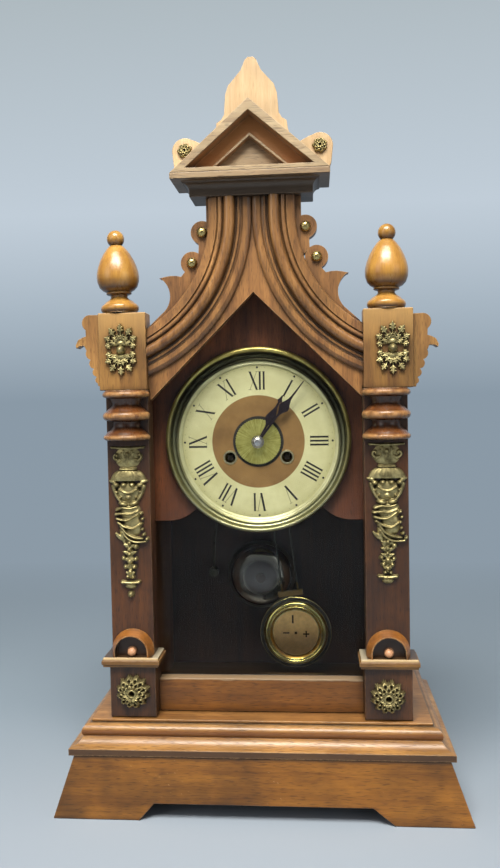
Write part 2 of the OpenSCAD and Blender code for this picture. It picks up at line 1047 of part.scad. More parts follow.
// Round-topped hoods over the cap slabs, each with a round bead in its recess.
module arch_hoods() {
    side_h = 4;
    z = slab_top + side_h;
    back_r = 17;
    front_r = 13.6;
    recess_r = 12.7;
    bead_r = 3.6;
    bead_gap = 0.05;
    color(oak)
        both_sides() {
            translate([post_x, -60.8, slab_top + bead_r - 0.1])
                intersection() {
                    sphere(r = bead_r);
                    translate([-5, -5, bead_gap - bead_r + 0.1])
                        cube([10, 10, 10]);
                }
            difference() {
                union() {
                    translate([post_x, shaft_y, z])
                        rotate([90, 0, 0])
                            cylinder(r1 = back_r, r2 = front_r, h = shaft_y - hood_front_y);
                    translate([post_x, 0, slab_top])
                        linear_extrude(side_h)
                            polygon([
                                [-back_r, shaft_y], [back_r, shaft_y],
                                [front_r, hood_front_y], [-front_r, hood_front_y]
                            ]);
                }
                translate([post_x, shaft_y - 2, z])
                    rotate([90, 0, 0])
                        cylinder(r = recess_r, h = 20);
                translate([post_x - recess_r, hood_front_y - 1, slab_top - 1])
                    cube([2 * recess_r, shaft_y - hood_front_y - 1, side_h + 1]);
                translate([post_x - 30, hood_front_y - 5, slab_top - 40])
                    cube([60, 30, 40]);
            }
        }
}

module post_shafts() {
    color(walnut)
        for (side = [0, 1])
            mirror([side, 0, 0])
                translate([post_x - shaft_w / 2, shaft_y, slab_top])
                    cube([shaft_w, seat_y - shaft_y, capital_z + side * left_lift - slab_top]);
}

// Split turnings on the flat fronts of the shafts, under the capital blocks.
module post_turnings() {
    z = turning_z;
    ring_r = 18.7;
    color(walnut)
        both_posts()
            translate([post_x + 0.4, shaft_y, 0])
                rotate([0, 0, 180])
                    rotate_extrude(angle = 180)
                        polygon(concat(
                            [[0, z], [17, z]],
                            arc(ring_r - 2.2, z + 2.1, 2.1, -70, 70, 8),
                            [[15.5, z + 6.2], [12.6, z + 8.4], [11, z + 10.4], [10.6, z + 12.7],
                            [10.8, z + 14.4], [12.8, z + 15.2]],
                            arc(ring_r - 3.6, z + 18.9, 3.6, -80, 72, 10),
                            [[14.6, z + 24.2], [12.2, z + 26.2], [11, z + 27.8], [11, z + 28.8],
                            [11.6, z + 29.8], [12.6, z + 32.6], [15.4, z + 33.2]],
                            arc(ring_r - 2.4, z + 35.7, 2.4, -75, 75, 8),
                            [[16.4, z + 38.4], [16.4, capital_z], [0, capital_z]]
                        ));
}

capital_in = 84.8;
capital_out = 122.9;
capital_y = -56.3;

// Each block has a tongue that fills the corner behind the fretted board.
module capital_blocks() {
    tongue_in = 101;
    tongue_t = 7.5;
    h = capital_top - capital_z;
    color(oak)
        both_posts()
            union() {
                translate([capital_in, capital_y, capital_z])
                    cube([capital_out - capital_in, seat_y - capital_y, h]);
                translate([tongue_in, seat_y, capital_z])
                    cube([capital_out - tongue_in, tongue_t, h]);
            }
}

module capital_ear() {
    x = capital_out;
    along_y(-52, -41)
        difference() {
            union() {
                translate([x + 7.6, 387])
                    circle(r = 6.5);
                translate([x, 381])
                    square([7.6, 12.4]);
                polygon([
                    [x, 388], [x + 11.4, 384], [x + 11.2, 376.6], [x + 14, 375.8],
                    [x + 17.6, 373.8], [x + 19.6, 369.8], [x + 19.2, 367.2], [x + 16.4, 369],
                    [x + 12.6, 369.2], [x + 11.4, 366], [x, 350]
                ]);
                for (p = [[6.6, 362.8, 5], [4.8, 355, 4.2], [3, 348, 3.5], [1.6, 341.8, 2.8]])
                    translate([x + p[0], p[1]])
                        circle(r = p[2]);
                polygon([[x, 337], [x + 2.2, 337], [x + 7.4, 366], [x, 372]]);
            }
            translate([x - 20, 300])
                square([20, 120]);
        }
}

// Scalloped ears on the outer faces of the capital blocks. The right one sits lower.
module capital_ears() {
    right_drop = 3.4;
    color(oak) {
        translate([0, 0, -right_drop])
            capital_ear();
        translate([0, 0, left_lift])
            mirror([1, 0, 0])
                capital_ear();
    }
}

finial_foot_r = 15.1;

module finial() {
    rotate_extrude()
        polygon(concat(
            [[0, 0], [13.6, 0]],
            arc(finial_foot_r - 3.7, 3.8, 3.7, -60, 70, 9),
            [[10.8, 9.2], [8, 11], [6.6, 12.6], [6.9, 14.2], [9.2, 14.9]],
            arc(9.2, 15.9, 0.9, -70, 70, 5),
            [[12.6, 18.4], [15, 20.9], [16.5, 25.2], [16.8, 29], [16.5, 32.4], [15.4, 36.8],
            [13.4, 42], [10.6, 47.2], [7.8, 51], [5.6, 53.4]],
            arc(0, 59.2, 6.9, -50, 90, 12)
        ));
}

// A finial that leans on its dowel until the edge of its foot touches the block.
module leaning_finial(x, z, lean) {
    translate([x, -44, z + finial_foot_r * sin(abs(lean))])
        rotate([0, lean, 0])
            finial();
}

module finials() {
    color(oak) {
        leaning_finial(103.6, capital_top, 0.9);
        leaning_finial(-107.5, capital_top + left_lift, -2.3);
    }
}

// Fretted board, arched mouldings, cornice, pediment and crest

studs_right = [[41.6, 460], [50, 436.4]];
studs_left = [[39.6, 458], [48, 434.4]];
lobe_r = 9;
fret_in = 84.75;

// One half of the fretted board, with its neck under the cornice, its lobes, the web
// between them and its pointed leaf. Its foot is cut back to stand beside the shaft.
module fret_half(studs, neck_x) {
    a = studs[0];
    b = studs[1];
    difference() {
        union() {
            polygon(concat(
                [[0, cornice_z], [arch_x - arch_r, cornice_z]],
                arc(arch_x, arch_z, arch_r, 180, 240, 24),
                [[fret_in, 384], [fret_in, 326], [0, peak_z]]
            ));
            for (p = studs)
                translate(p)
                    circle(r = lobe_r);
            translate([arch_x - arch_r - 4, a[1]])
                square([neck_x + 4, cornice_z - a[1]]);
            polygon([
                a - [10, 0], a + [3.2, -8.2], a + [2.8, -10.8], b + [-5.2, 7.4], b - [12, 0]
            ]);
            polygon(concat(
                [[40, 432], [53.4, 428.2], [57.1, 424], [61, 424.8], [65.4, 424.9], [69.8, 424.3],
                [74.6, 423.2]],
                arc(83.5, 409, 17.3, 126, 233, 12),
                [[83, 386], [60, 400], [48, 415]]
            ));
        }
        translate([post_x - shaft_w / 2 - 0.05, 300])
            square([20, capital_z + left_lift + 0.1 - 300]);
    }
}

module front_board() {
    color(oak)
        along_y(fret_y, seat_y)
            union() {
                fret_half(studs_right, 4.4);
                mirror([1, 0])
                    fret_half(studs_left, 2);
            }
}

// The arched moulding's profile: distance from its outer edge, and relief.
arch_profile = concat(
    [[0, 0], [0, 3.6], [1, 4.6], [6.8, 5.4], [7.4, 4.2]],
    arc(9.6, 4.6, 1.7, 165, 15, 6),
    [[12, 4.2]],
    arc(16.6, 4.2, 4.3, 175, 5, 12),
    [[21.4, 2.4], [22.8, 2.2], [23, 4], [24.8, 4], [25, 2.6], [26.4, 2.2], [27.4, 3.4],
    [30.6, 3.8], [33, 2.6], [33.9, 1.2], [33.9, 0]]
);

module arch_profile_at(r) {
    polygon([for (p = arch_profile) [r + p[0], p[1]]]);
}

module arch_mouldings() {
    color(oak)
        both_sides()
            difference() {
                union() {
                    translate([arch_x, fret_y, arch_z])
                        rotate([90, 0, 0])
                            rotate([0, 0, 180])
                                rotate_extrude(angle = 72, $fn = 144)
                                    arch_profile_at(arch_r);
                    translate([arch_x, fret_y, arch_z])
                        linear_extrude(cornice_z - arch_z)
                            rotate(180)
                                arch_profile_at(arch_r);
                }
                translate([capital_in, fret_y - 20, 300])
                    cube([100, 40, 120]);
            }
}

cornice_y = -69;
cornice_back_y = -25;
cornice_step = 13;
shelf_z = cornice_z + 10.9;
shelf_top = shelf_z + 4.7;

module cornice() {
    w0 = cornice_w - cornice_step;
    y0 = cornice_y + cornice_step;
    // How far the profile stands out of the lowest block, and its height.
    cove = concat(
        [[0, cornice_z]],
        arc(5.1, cornice_z + 4.7, 5.1, 180, 90, 8),
        [[5.1, shelf_z], [cornice_step, shelf_z], [cornice_step, shelf_top]]
    );
    last = len(cove) - 1;
    right = [for (p = cove) [w0 + p[0], p[1]]];
    left = [for (i = [last:-1:0]) [-w0 - cove[i][0], cove[i][1]]];
    front = [for (i = [last:-1:0]) [y0 - cove[i][0], cove[i][1]]];
    color(oak)
        intersection() {
            along_y(cornice_y - 1, cornice_back_y)
                polygon(concat(right, left));
            along_x(-cornice_w - 1, cornice_w + 1)
                polygon(concat([[cornice_back_y, cornice_z], [cornice_back_y, shelf_top]], front));
        }
}

crest_y = -34;
// Top of the pediment's bottom member, which is flush with the shelf and the rakes.
tie_top = shelf_top + 3.3;

// A triangle over z. With sink, its sides run on down into what carries it.
module gable(w, h, z = tie_top, sink = 0) {
    foot = w * (h + sink) / h;
    polygon([[-foot, z - sink], [foot, z - sink], [0, z + h]]);
}

// Two raking boards and a bottom member stand round a sunk face, on which a smaller raised
// frame holds the middle panel.
module pediment() {
    face_y = -56;
    panel_y = -52;
    back_y = crest_y - 1;
    inner_w = 48.8;
    inner_h = 41.3;
    frame_w = 32.4;
    frame_h = 27.6;
    rim = 2.6;
    color(oak)
        union() {
            along_y(cornice_y, back_y)
                difference() {
                    gable(cornice_w, pediment_h, shelf_top);
                    gable(inner_w, inner_h);
                }
            along_y(face_y, back_y - 1)
                difference() {
                    gable(inner_w + 0.6, inner_h + 0.5, sink = 0.5);
                    gable(frame_w - rim, frame_h - rim, sink = 1);
                }
            along_y(face_y - rim, face_y + 0.5)
                difference() {
                    gable(frame_w, frame_h, sink = 0.5);
                    gable(frame_w - rim, frame_h - rim, sink = 1);
                }
            along_y(panel_y, back_y - 1)
                gable(frame_w, frame_h, sink = 0.5);
        }
}

ear_at = [54, 526];
ear_r = 10.3;

module crest_half() {
    polygon([
        [0, shelf_top], [57, shelf_top], [57, 512], [52, 518], [40, 524], [32, 532], [29, 540],
        [28, 547], [24.2, 549.4], [21.8, 553.4], [21.3, 561], [20.6, 569], [18.2, 576],
        [12.4, 582.4], [8.2, 587.2], [6.2, 591.6], [4.4, 595.6], [2, 597.6], [0, top_z]
    ]);
    translate(ear_at)
        circle(r = ear_r);
    polygon([
        [36, 505], [60, 505], [63, 514], [64.3, 526], [54, 536.3], [46, 534], [36, 529]
    ]);
}

module crest_board() {
    color(oak)
        along_y(crest_y, cornice_back_y)
            union() {
                crest_half();
                mirror([1, 0])
                    crest_half();
            }
}

// Brass mounts

// A flower of overlapping round petals with a boss.
module rosette(r, petals, t) {
    petal_r = r * 0.27;
    linear_extrude(t)
        union() {
            circle(r = r * 0.72);
            for (i = [0:petals - 1])
                rotate(i * 360 / petals)
                    translate([r - petal_r, 0])
                        circle(r = petal_r);
        }
    cylinder(r1 = r * 0.34, r2 = r * 0.24, h = t * 1.9);
}

module on_face(x, y, z) {
    translate([x, y, z])
        rotate([90, 0, 0])
            children();
}

module rosettes() {
    block_rosette_r = 14.2;
    color(brass) {
        on_face(100, block_y, 94)
            rosette(block_rosette_r, 10, 2.4);
        on_face(-101.4, block_y, 96)
            rosette(block_rosette_r, 10, 2.4);
        both_sides()
            on_face(ear_at[0], crest_y, ear_at[1])
                rosette(6, 8, 1.8);
    }
}

// A boss between two fans of leaves.
module capital_mount() {
    leaf_r = 2;
    union() {
        linear_extrude(2)
            union() {
                square([3.4, 34], center = true);
                for (s = [-1, 1])
                    for (a = [-56, -28, 0, 28, 56])
                        translate([0, s * 5])
                            rotate(s > 0 ? a : 180 + a)
                                union() {
                                    translate([-1.4, 0])
                                        square([2.8, 14]);
                                    translate([0, 14.2])
                                        circle(r = leaf_r, $fn = 24);
                                }
            }
        cylinder(r1 = 5, r2 = 3.2, h = 4.4);
    }
}

module capital_mounts() {
    color(brass) {
        on_face(107, capital_y, 363.4)
            capital_mount();
        on_face(-104.8, capital_y, 366.8)
            capital_mount();
    }
}

// A tall drop: a capital, a dome over a beaded band, a tapered body, drapery and a tail.
// The left one still has the bead under its tail.
module post_mounts() {
    edge = [
        [10.5, 291], [10.8, 288], [9, 284], [6.6, 279], [6.2, 275.6], [9.4, 272], [13.2, 268.4],
        [13.8, 265.6], [11.4, 262.6], [9.6, 256], [7, 250], [6.8, 246.4], [9.2, 244], [11.6, 240],
        [11.2, 234.6], [8.4, 231], [8.8, 228], [5, 222], [3.2, 215], [2.6, 208], [3.4, 205],
        [5.8, 202], [4.6, 196.6], [6, 191.6], [7.4, 188.6], [6.4, 185], [4, 182], [1.4, 179.4]
    ];
    inner = [
        [7.6, 290], [6.6, 284], [4, 279], [4.2, 275.6], [7, 271.6], [10.4, 268], [10, 265.8],
        [7.8, 262], [5.6, 255], [4, 249], [4.4, 245], [7.4, 240], [6, 234], [4, 226], [1.4, 214]
    ];
    x = post_x + 0.4;
    color(brass) {
        both_sides()
            union() {
                along_y(shaft_y - 2.6, shaft_y)
                    translate([x, 0])
                        polygon(both_edges(edge));
                along_y(shaft_y - 5.4, shaft_y - 2.6)
                    translate([x, 0])
                        polygon(both_edges(inner));
            }
        turned_y(-x, shaft_y, 172.7)
            polygon(concat([[0, 0]], arc(0, 1.4, 2.8, -30, 90, 12)));
    }
}

module fret_studs() {
    color(brass)
        for (p = concat(studs_right, [for (q = studs_left) [-q[0], q[1]]]))
            turned_y(p[0], fret_y, p[1])
                polygon(concat([[0, 0], [4.3, 0]], arc(0, 0.4, 4.3, 0, 90, 10)));
}

rail_y = -47.8;
rail_h = 26.7;

module bottom_rail() {
    color(oak)
        translate([-block_in, rail_y, door_z])
            cube([2 * block_in, seat_y - rail_y, rail_h]);
}

// Door frame and glass

frame_back_y = -30;
frame_w = 14;
stile_x = 118;
pane_low = 97;

module door_outline(side, low, peak) {
    polygon([[-side, low], [side, low], [side, peak - side], [0, peak], [-side, peak - side]]);
}

module door_frame() {
    peak = ridge_z + 5;
    right_z = capital_z - 0.2;
    left_z = right_z + left_lift;
    color(oak)
        difference() {
            along_y(seat_y, frame_back_y)
                polygon([
                    [-stile_x, door_z], [stile_x, door_z], [stile_x, right_z],
                    [peak - 0.2 - right_z, right_z], [0, peak],
                    [left_z + 0.2 - peak, left_z], [-stile_x, left_z]
                ]);
            along_y(seat_y - 1, frame_back_y + 1)
                door_outline(case_half - frame_w, pane_low + 4, peak_z + 3);
            along_y(seat_y - 1, seat_y + glass_t + 0.2)
                door_outline(case_half - frame_w + 4.2, pane_low - 0.2, peak_z + 9.2);
        }
}

module door_glass() {
    color([0.75, 0.82, 0.82, 0.35])
        along_y(seat_y + 0.1, seat_y + 0.1 + glass_t)
            door_outline(case_half - frame_w + 4, pane_low, peak_z + 9);
}

skirt_front();
skirt_returns();
plinth_moulding();
plinth_board();
case_sides();
back_board();
roof_boards();
dial_board();
dial_plate();
dial_bezel();
winding_eyelets();
front_plate();
back_plate();
plate_pillars();
suspension_cock();
bell();
bell_stand();
hinge_case_leaves();
hook_screw();
front_board();
bottom_rail();
door_frame();
door_glass();
arch_mouldings();
post_shafts();
post_turnings();
plinth_blocks();
plinth_caps();
arch_hoods();
capital_blocks();
capital_ears();
finials();
cornice();
pediment();
crest_board();
rosettes();
capital_mounts();
post_mounts();
fret_studs();
hinge_door_leaves();
catch_pin();
latch_hook();
minute_hand();
cannon_pinion();
hour_hand();
hour_wheel();
alarm_disc();
minute_wheel();
centre_wheel();
third_wheel();
escape_wheel();
pallets();
pendulum_rod();
pendulum_bob();
regulator_disc();
going_barrel();
time_winding_arbor();
alarm_barrel();
alarm_winding_arbor();
alarm_hammer();
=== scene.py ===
"""Kitchen clock: finishes, pressed ornaments, dial, light and camera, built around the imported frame.

The frame holds every solid piece at its real size. This script gives each of them its finish, softens its
edges, and puts modelled pieces in place of the plain ornaments. Lengths in the classes are millimetres.
"""

import logging
import math
from collections.abc import Callable, Sequence
from dataclasses import dataclass, field
from enum import Enum
from typing import ClassVar

import bmesh
import bpy
import numpy as np
from mathutils import Matrix, Vector


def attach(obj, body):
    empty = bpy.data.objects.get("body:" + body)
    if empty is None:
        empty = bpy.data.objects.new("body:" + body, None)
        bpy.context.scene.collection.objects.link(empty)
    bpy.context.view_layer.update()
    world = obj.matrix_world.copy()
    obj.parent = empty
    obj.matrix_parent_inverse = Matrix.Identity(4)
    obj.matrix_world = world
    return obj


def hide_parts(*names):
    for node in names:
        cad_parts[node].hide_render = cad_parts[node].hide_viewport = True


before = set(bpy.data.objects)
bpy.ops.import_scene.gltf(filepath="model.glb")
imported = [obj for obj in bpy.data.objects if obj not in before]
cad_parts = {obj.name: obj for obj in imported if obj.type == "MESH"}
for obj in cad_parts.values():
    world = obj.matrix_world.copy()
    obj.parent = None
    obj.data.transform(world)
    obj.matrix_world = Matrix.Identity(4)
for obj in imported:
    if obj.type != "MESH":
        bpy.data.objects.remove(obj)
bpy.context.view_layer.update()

LOG = logging.getLogger("kitchen_clock")
MM = 0.001

# Points that lie closer than this, in millimetres, become one before edges are rounded
WELD = 0.004
# Angles in degrees: edges that turn less than the first are taken out, and edges that turn more than the
# others are rounded or shaded sharp
FLAT_ANGLE, ROUNDED_ANGLE, SHARP_ANGLE = 0.6, 32, 35

Colour = tuple[float, float, float]
Point = tuple[float, float]
Socket = bpy.types.NodeSocket


def srgb(red: int, green: int, blue: int) -> Colour:
    """Turns a colour as a screen shows it into the linear colour of a shader.

    Args:
        red: Red from 0 to 255.
        green: Green from 0 to 255.
        blue: Blue from 0 to 255.

    Returns:
        The linear colour.
    """
    linear = []
    for part in (red, green, blue):
        c = part / 255
        linear.append(c / 12.92 if c <= 0.04045 else ((c + 0.055) / 1.055) ** 2.4)
    return tuple(linear)


class Grain(Enum):
    """The way the fibres of a board run, as the order of axes: along, across, through."""

    ACROSS = ("X", "Z", "Y")
    UPRIGHT = ("Z", "X", "Y")


class Graph:
    """Writes the node tree of one material.

    SAMPLES is how many rays find an edge or a hollow. Each pair says where a mask starts and where it is
    full: by how far a face looks up, by how little an edge turns, and by how much light reaches a hollow.
    """

    SAMPLES = 6
    LOOKS_UP = (0.05, -0.75)
    RUNS_ON = (0.995, 0.86)
    LIT = (0.92, 0.35)

    def __init__(self, name: str) -> None:
        """Starts an empty material that holds only its output.

        Args:
            name: The material's name.
        """
        self.material = bpy.data.materials.new(name)
        self.material.use_nodes = True
        self.tree = self.material.node_tree
        self.tree.nodes.clear()
        self.output = self.tree.nodes.new("ShaderNodeOutputMaterial")

    def add(self, kind: str, inputs: dict | None = None, **settings: object) -> bpy.types.Node:
        """Adds a node.

        Args:
            kind: The node's type without its first words.
            inputs: Values or sockets for the node's inputs, by name or index.
            settings: The node's own settings.

        Returns:
            The node.
        """
        node = self.tree.nodes.new("ShaderNode" + kind)
        for key, value in settings.items():
            setattr(node, key, value)
        for key, value in (inputs or {}).items():
            self.feed(node.inputs[key], value)
        return node

    def feed(self, socket: Socket, value: object) -> None:
        """Links a socket to an input, or sets the input's own value.

        Args:
            socket: The input.
            value: Another node's output, a number, a vector or a colour.
        """
        if isinstance(value, bpy.types.NodeSocket):
            self.tree.links.new(value, socket)
        elif socket.type == "RGBA":
            socket.default_value = (*value[:3], 1.0)
        else:
            socket.default_value = value

    def calc(self, operation: str, *values: object, clamp: bool = False) -> Socket:
        """Adds one step of arithmetic and returns its result."""
        return self.add("Math", dict(enumerate(values)), operation=operation, use_clamp=clamp).outputs[0]

    def times(self, first: object, *others: object) -> Socket:
        """Multiplies values.

        Args:
            first: A number or a socket.
            others: More of them.

        Returns:
            Their product.
        """
        for other in others:
            first = self.calc("MULTIPLY", first, other)
        return first

    def length(self, a: Socket, b: Socket) -> Socket:
        """Returns the length of a way from its parts along two axes."""
        return self.calc("SQRT", self.calc("ADD", self.times(a, a), self.times(b, b)))

    def spread(self, value: Socket, low: float, high: float, to_low: float = 0.0,
               to_high: float = 1.0) -> Socket:
        """Stretches the part of a value between low and high to another range, and clips the rest."""
        names = ("Value", "From Min", "From Max", "To Min", "To Max")
        return self.add("MapRange", dict(zip(names, (value, low, high, to_low, to_high)))).outputs[0]

    def mix(self, factor: object, first: object, second: object, mode: str = "MIX") -> Socket:
        """Mixes two colours by a factor and returns the result."""
        inputs = {0: factor, 6: first, 7: second}
        return self.add("Mix", inputs, data_type="RGBA", blend_type=mode, clamp_factor=True).outputs[2]

    def place(self) -> Socket:
        """Returns the place of a point in the object's own frame, in metres."""
        return self.add("TexCoord").outputs["Object"]

    def axis(self, name: str) -> Socket:
        """Returns the place along one axis, in millimetres."""
        return self.times(self.add("SeparateXYZ", {0: self.place()}).outputs[name], 1 / MM)

    def height(self) -> Socket:
        """Returns the height over the floor, in millimetres."""
        return self.axis("Z")

    def depth(self) -> Socket:
        """Returns how far behind the middle of the clock's depth a point is, in millimetres."""
        return self.axis("Y")

    def aside(self) -> Socket:
        """Returns how far from the middle of the clock's width a point is, in millimetres."""
        return self.calc("ABSOLUTE", self.axis("X"))

    def ring(self, x: float, z: float, mirrored: bool = False) -> Socket:
        """Returns the distance from an axis that runs from the front to the back, in millimetres.

        Args:
            x: The axis's place.
            z: The axis's height.
            mirrored: Whether the same axis stands on the other side too.

        Returns:
            The distance.
        """
        across = self.aside() if mirrored else self.axis("X")
        return self.length(self.calc("SUBTRACT", across, x), self.calc("SUBTRACT", self.height(), z))

    def facing_down(self) -> Socket:
        """Returns 1 on faces that look down and 0 on upright ones and on those that look up."""
        normal = self.add("NewGeometry").outputs["Normal"]
        return self.spread(self.add("SeparateXYZ", {0: normal}).outputs["Z"], *self.LOOKS_UP)

    def ordered(self, grain: Grain) -> Socket:
        """Returns the place with its axes in the grain's order: along, across, through."""
        parts = self.add("SeparateXYZ", {0: self.place()}).outputs
        return self.add("CombineXYZ", {i: parts[axis] for i, axis in enumerate(grain.value)}).outputs[0]

    def scaled(self, vector: Socket, along: float, across: float, through: float | None = None) -> Socket:
        """Scales a vector by its parts, so that a pattern on it is drawn out."""
        factors = (along, across, across if through is None else through)
        return self.add("VectorMath", {0: vector, 1: factors}, operation="MULTIPLY").outputs[0]

    def noise(self, vector: Socket, scale: float = 1.0, detail: float = 3.0, rough: float = 0.5,
              bend: float = 0.0) -> Socket:
        """Returns a soft random pattern between about 0.2 and 0.8."""
        inputs = {"Vector": vector, "Scale": scale, "Detail": detail, "Roughness": rough, "Distortion": bend}
        return self.add("TexNoise", inputs).outputs[0]

    def edges(self, radius: float) -> Socket:
        """Returns about 1 on sharp edges and 0 on flat faces.

        Args:
            radius: How far from the edge it reaches, in millimetres.

        Returns:
            The mask.
        """
        rounded = self.add("Bevel", {"Radius": radius * MM}, samples=self.SAMPLES).outputs[0]
        plain = self.add("NewGeometry").outputs["Normal"]
        turn = self.add("VectorMath", {0: rounded, 1: plain}, operation="DOT_PRODUCT").outputs["Value"]
        return self.spread(turn, *self.RUNS_ON)

    def hollows(self, reach: float) -> Socket:
        """Returns about 1 in corners and hollows and 0 on open faces.

        Args:
            reach: How wide a hollow it finds, in millimetres.

        Returns:
            The mask.
        """
        node = self.add("AmbientOcclusion", {"Distance": reach * MM}, samples=self.SAMPLES)
        return self.spread(node.outputs["AO"], *self.LIT)

    def bump(self, height: Socket, depth: float) -> Socket:
        """Returns the normal of a surface with small heights on it.

        Args:
            height: The pattern.
            depth: How deep it is, in millimetres.

        Returns:
            The normal.
        """
        return self.add("Bump", {"Height": height, "Distance": depth * MM, "Strength": 1.0}).outputs[0]

    def finish(self, **inputs: object) -> bpy.types.Material:
        """Closes the tree with a Principled shader, and returns the material.

        Args:
            inputs: The shader's inputs, with underscores for spaces.

        Returns:
            The material.
        """
        shader = self.add("BsdfPrincipled", {key.replace("_", " "): value for key, value in inputs.items()})
        self.tree.links.new(shader.outputs[0], self.output.inputs["Surface"])
        return self.material


@dataclass(frozen=True)
class Tint:
    """Stain, wood worn bare, painted light or painted shade in one part of a piece.

    Each band is a measure of a point's place, the value at which the tint starts and the value at which it is
    full. A tint shows where all its bands do.
    """

    colour: Colour
    share: float
    bands: tuple[tuple[Callable[[Graph], Socket], float, float], ...]

    def lay(self, g: Graph, under: Socket) -> Socket:
        """Mixes the tint into a colour.

        Args:
            g: The material's graph.
            under: The colour under it.

        Returns:
            The new colour.
        """
        masks = [g.spread(measure(g), start, full) for measure, start, full in self.bands]
        return g.mix(g.times(self.share, *masks), under, self.colour)


@dataclass(frozen=True)
class WoodFinish:
    """Stained and shellacked wood with drawn-out fibres, dark pores, worn edges, painted shade on its
    undersides, and dirt and painted shade in its corners.

    The pieces that have it come with it, and the width to which their edges are rounded. The pairs in
    capitals are the scales of its patterns, along the grain and across it.
    """

    FIGURE: ClassVar[Point] = (9, 70)
    FIBRES: ClassVar[Point] = (30, 620)
    LINES: ClassVar[Point] = (5, 230)
    PORES: ClassVar[Point] = (140, 1500)
    SCRATCHES: ClassVar[Point] = (22, 900)

    name: str
    light: Colour
    dark: Colour
    grain: Grain
    edge: float
    nodes: tuple[str, ...]
    worn: Colour = srgb(206, 168, 118)
    wear: float = 0.6
    gloss: float = 0.42
    flecks: float = 0.6
    patches: float = 0.35
    coat: float = 0.25
    scratches: float = 0.0
    reach: float = 5.0
    # Share of dirt and painted shade in corners and hollows
    shade_and_dirt: float = 0.6
    # Share of painted shade on faces that look down
    under: float = 0.45
    edge_reach: float = 1.3

    def deeper(self, share: float) -> Colour:
        """Returns the dark stain at a share of its light."""
        return tuple(share * c for c in self.dark)

    def material(self, tints: Sequence[Tint] = ()) -> bpy.types.Material:
        """Builds the material.

        Args:
            tints: Tints that lie on the stain, under the painted shade, the wear and the dirt.

        Returns:
            The material.
        """
        g = Graph(self.name)
        spot = g.ordered(self.grain)
        figure = g.noise(g.scaled(spot, *self.FIGURE), detail=5, rough=0.6, bend=0.8)
        fibres = g.noise(g.scaled(spot, *self.FIBRES), detail=3, rough=0.6)
        lines = g.noise(g.scaled(spot, *self.LINES), detail=2, rough=0.5, bend=0.4)
        tone = g.calc("ADD", g.times(figure, 0.55), g.times(fibres, 0.25))
        tone = g.calc("ADD", tone, g.times(lines, 0.30))
        colour = g.mix(g.spread(tone, 0.38, 0.74), self.dark, self.light)
        pores = g.noise(g.scaled(spot, *self.PORES), detail=1, rough=0.4)
        fleck = g.times(g.spread(pores, 0.57, 0.70), self.flecks)
        colour = g.mix(fleck, colour, self.deeper(0.35))
        cloud = g.noise(g.place(), 16, 3, 0.6)
        patch = g.spread(cloud, 0.35, 0.68, 1.0 - self.patches, 1.0 + 0.3 * self.patches)
        grey = g.add("CombineColor", {0: patch, 1: patch, 2: patch}).outputs[0]
        colour = g.mix(1.0, colour, grey, "MULTIPLY")
        for tint in tints:
            colour = tint.lay(g, colour)
        # Painted shade: faces that look down are darkened, as if all light came from above
        down = g.facing_down()
        colour = g.mix(g.times(down, self.under), colour, self.deeper(0.3))
        hollow = g.hollows(self.reach)
        ragged = g.spread(g.noise(g.place(), 260, 4, 0.7), 0.38, 0.62)
        open_to_wear = [g.calc("SUBTRACT", 1.0, mask, clamp=True) for mask in (down, hollow)]
        worn = g.times(g.edges(self.edge_reach), ragged, self.wear, *open_to_wear)
        colour = g.mix(worn, colour, self.worn)
        # Dirt and painted shade darken corners and hollows, where little light reaches
        colour = g.mix(g.times(hollow, self.shade_and_dirt), colour, self.deeper(0.16))
        if self.scratches:
            colour = g.mix(self.scratch_marks(g, spot), colour, self.worn)
        rough = g.spread(tone, 0.3, 0.8, self.gloss + 0.12, self.gloss - 0.06)
        relief = g.calc("SUBTRACT", g.times(fibres, 0.35), g.times(fleck, 0.8))
        return g.finish(Base_Color=colour, Roughness=rough, Normal=g.bump(relief, 0.12),
                        Coat_Weight=self.coat, Coat_Roughness=0.28)

    def scratch_marks(self, g: Graph, spot: Socket) -> Socket:
        """Returns a mask of rare thin scratches that run aslant to the grain.

        Args:
            g: The material's graph.
            spot: The place in the grain's order.

        Returns:
            The mask.
        """
        aslant = g.add("Mapping", {"Vector": spot, "Rotation": (0.35, 0.2, 0.5)}).outputs[0]
        marks = g.spread(g.noise(g.scaled(aslant, *self.SCRATCHES), detail=2), 0.70, 0.76)
        rare = g.spread(g.noise(g.place(), 40, 2), 0.52, 0.62)
        return g.times(marks, rare, self.scratches)


@dataclass(frozen=True)
class MetalFinish:
    """Metal that has kept its shine on the ridges and is dull and dark in the hollows."""

    name: str
    bright: Colour
    tarnish: Colour
    rough: float = 0.3
    age: float = 0.5
    depth: float = 2.0
    spot_scale: float = 140.0
    fine_scale: float = 880.0

    def material(self) -> bpy.types.Material:
        """Builds the material.

        Returns:
            The material.
        """
        g = Graph(self.name)
        spots = g.noise(g.place(), self.spot_scale, 4, 0.65)
        film = g.times(g.spread(spots, 0.36, 0.66), self.age)
        film = g.calc("MAXIMUM", film, g.hollows(self.depth))
        film = g.calc("SUBTRACT", film, g.times(g.edges(0.5), 0.5), clamp=True)
        colour = g.mix(film, self.bright, self.tarnish)
        fine = g.noise(g.place(), self.fine_scale, 2, 0.5)
        polish = g.spread(fine, 0.3, 0.7, self.rough, self.rough + 0.1)
        metal = g.spread(film, 0.2, 1.0, 1.0, 0.72)
        return g.finish(Base_Color=colour, Roughness=g.calc("ADD", g.times(film, 0.25), polish),
                        Metallic=metal, Normal=g.bump(fine, 0.03))


def dress(node: str, material: bpy.types.Material) -> bpy.types.Object:
    """Gives a frame piece its material.

    Args:
        node: The piece's name.
        material: Its finish.

    Returns:
        The piece.
    """
    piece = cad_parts[node]
    piece.data.materials.clear()
    piece.data.materials.append(material)
    LOG.info("dressed %s with %s", node, material.name)
    return piece


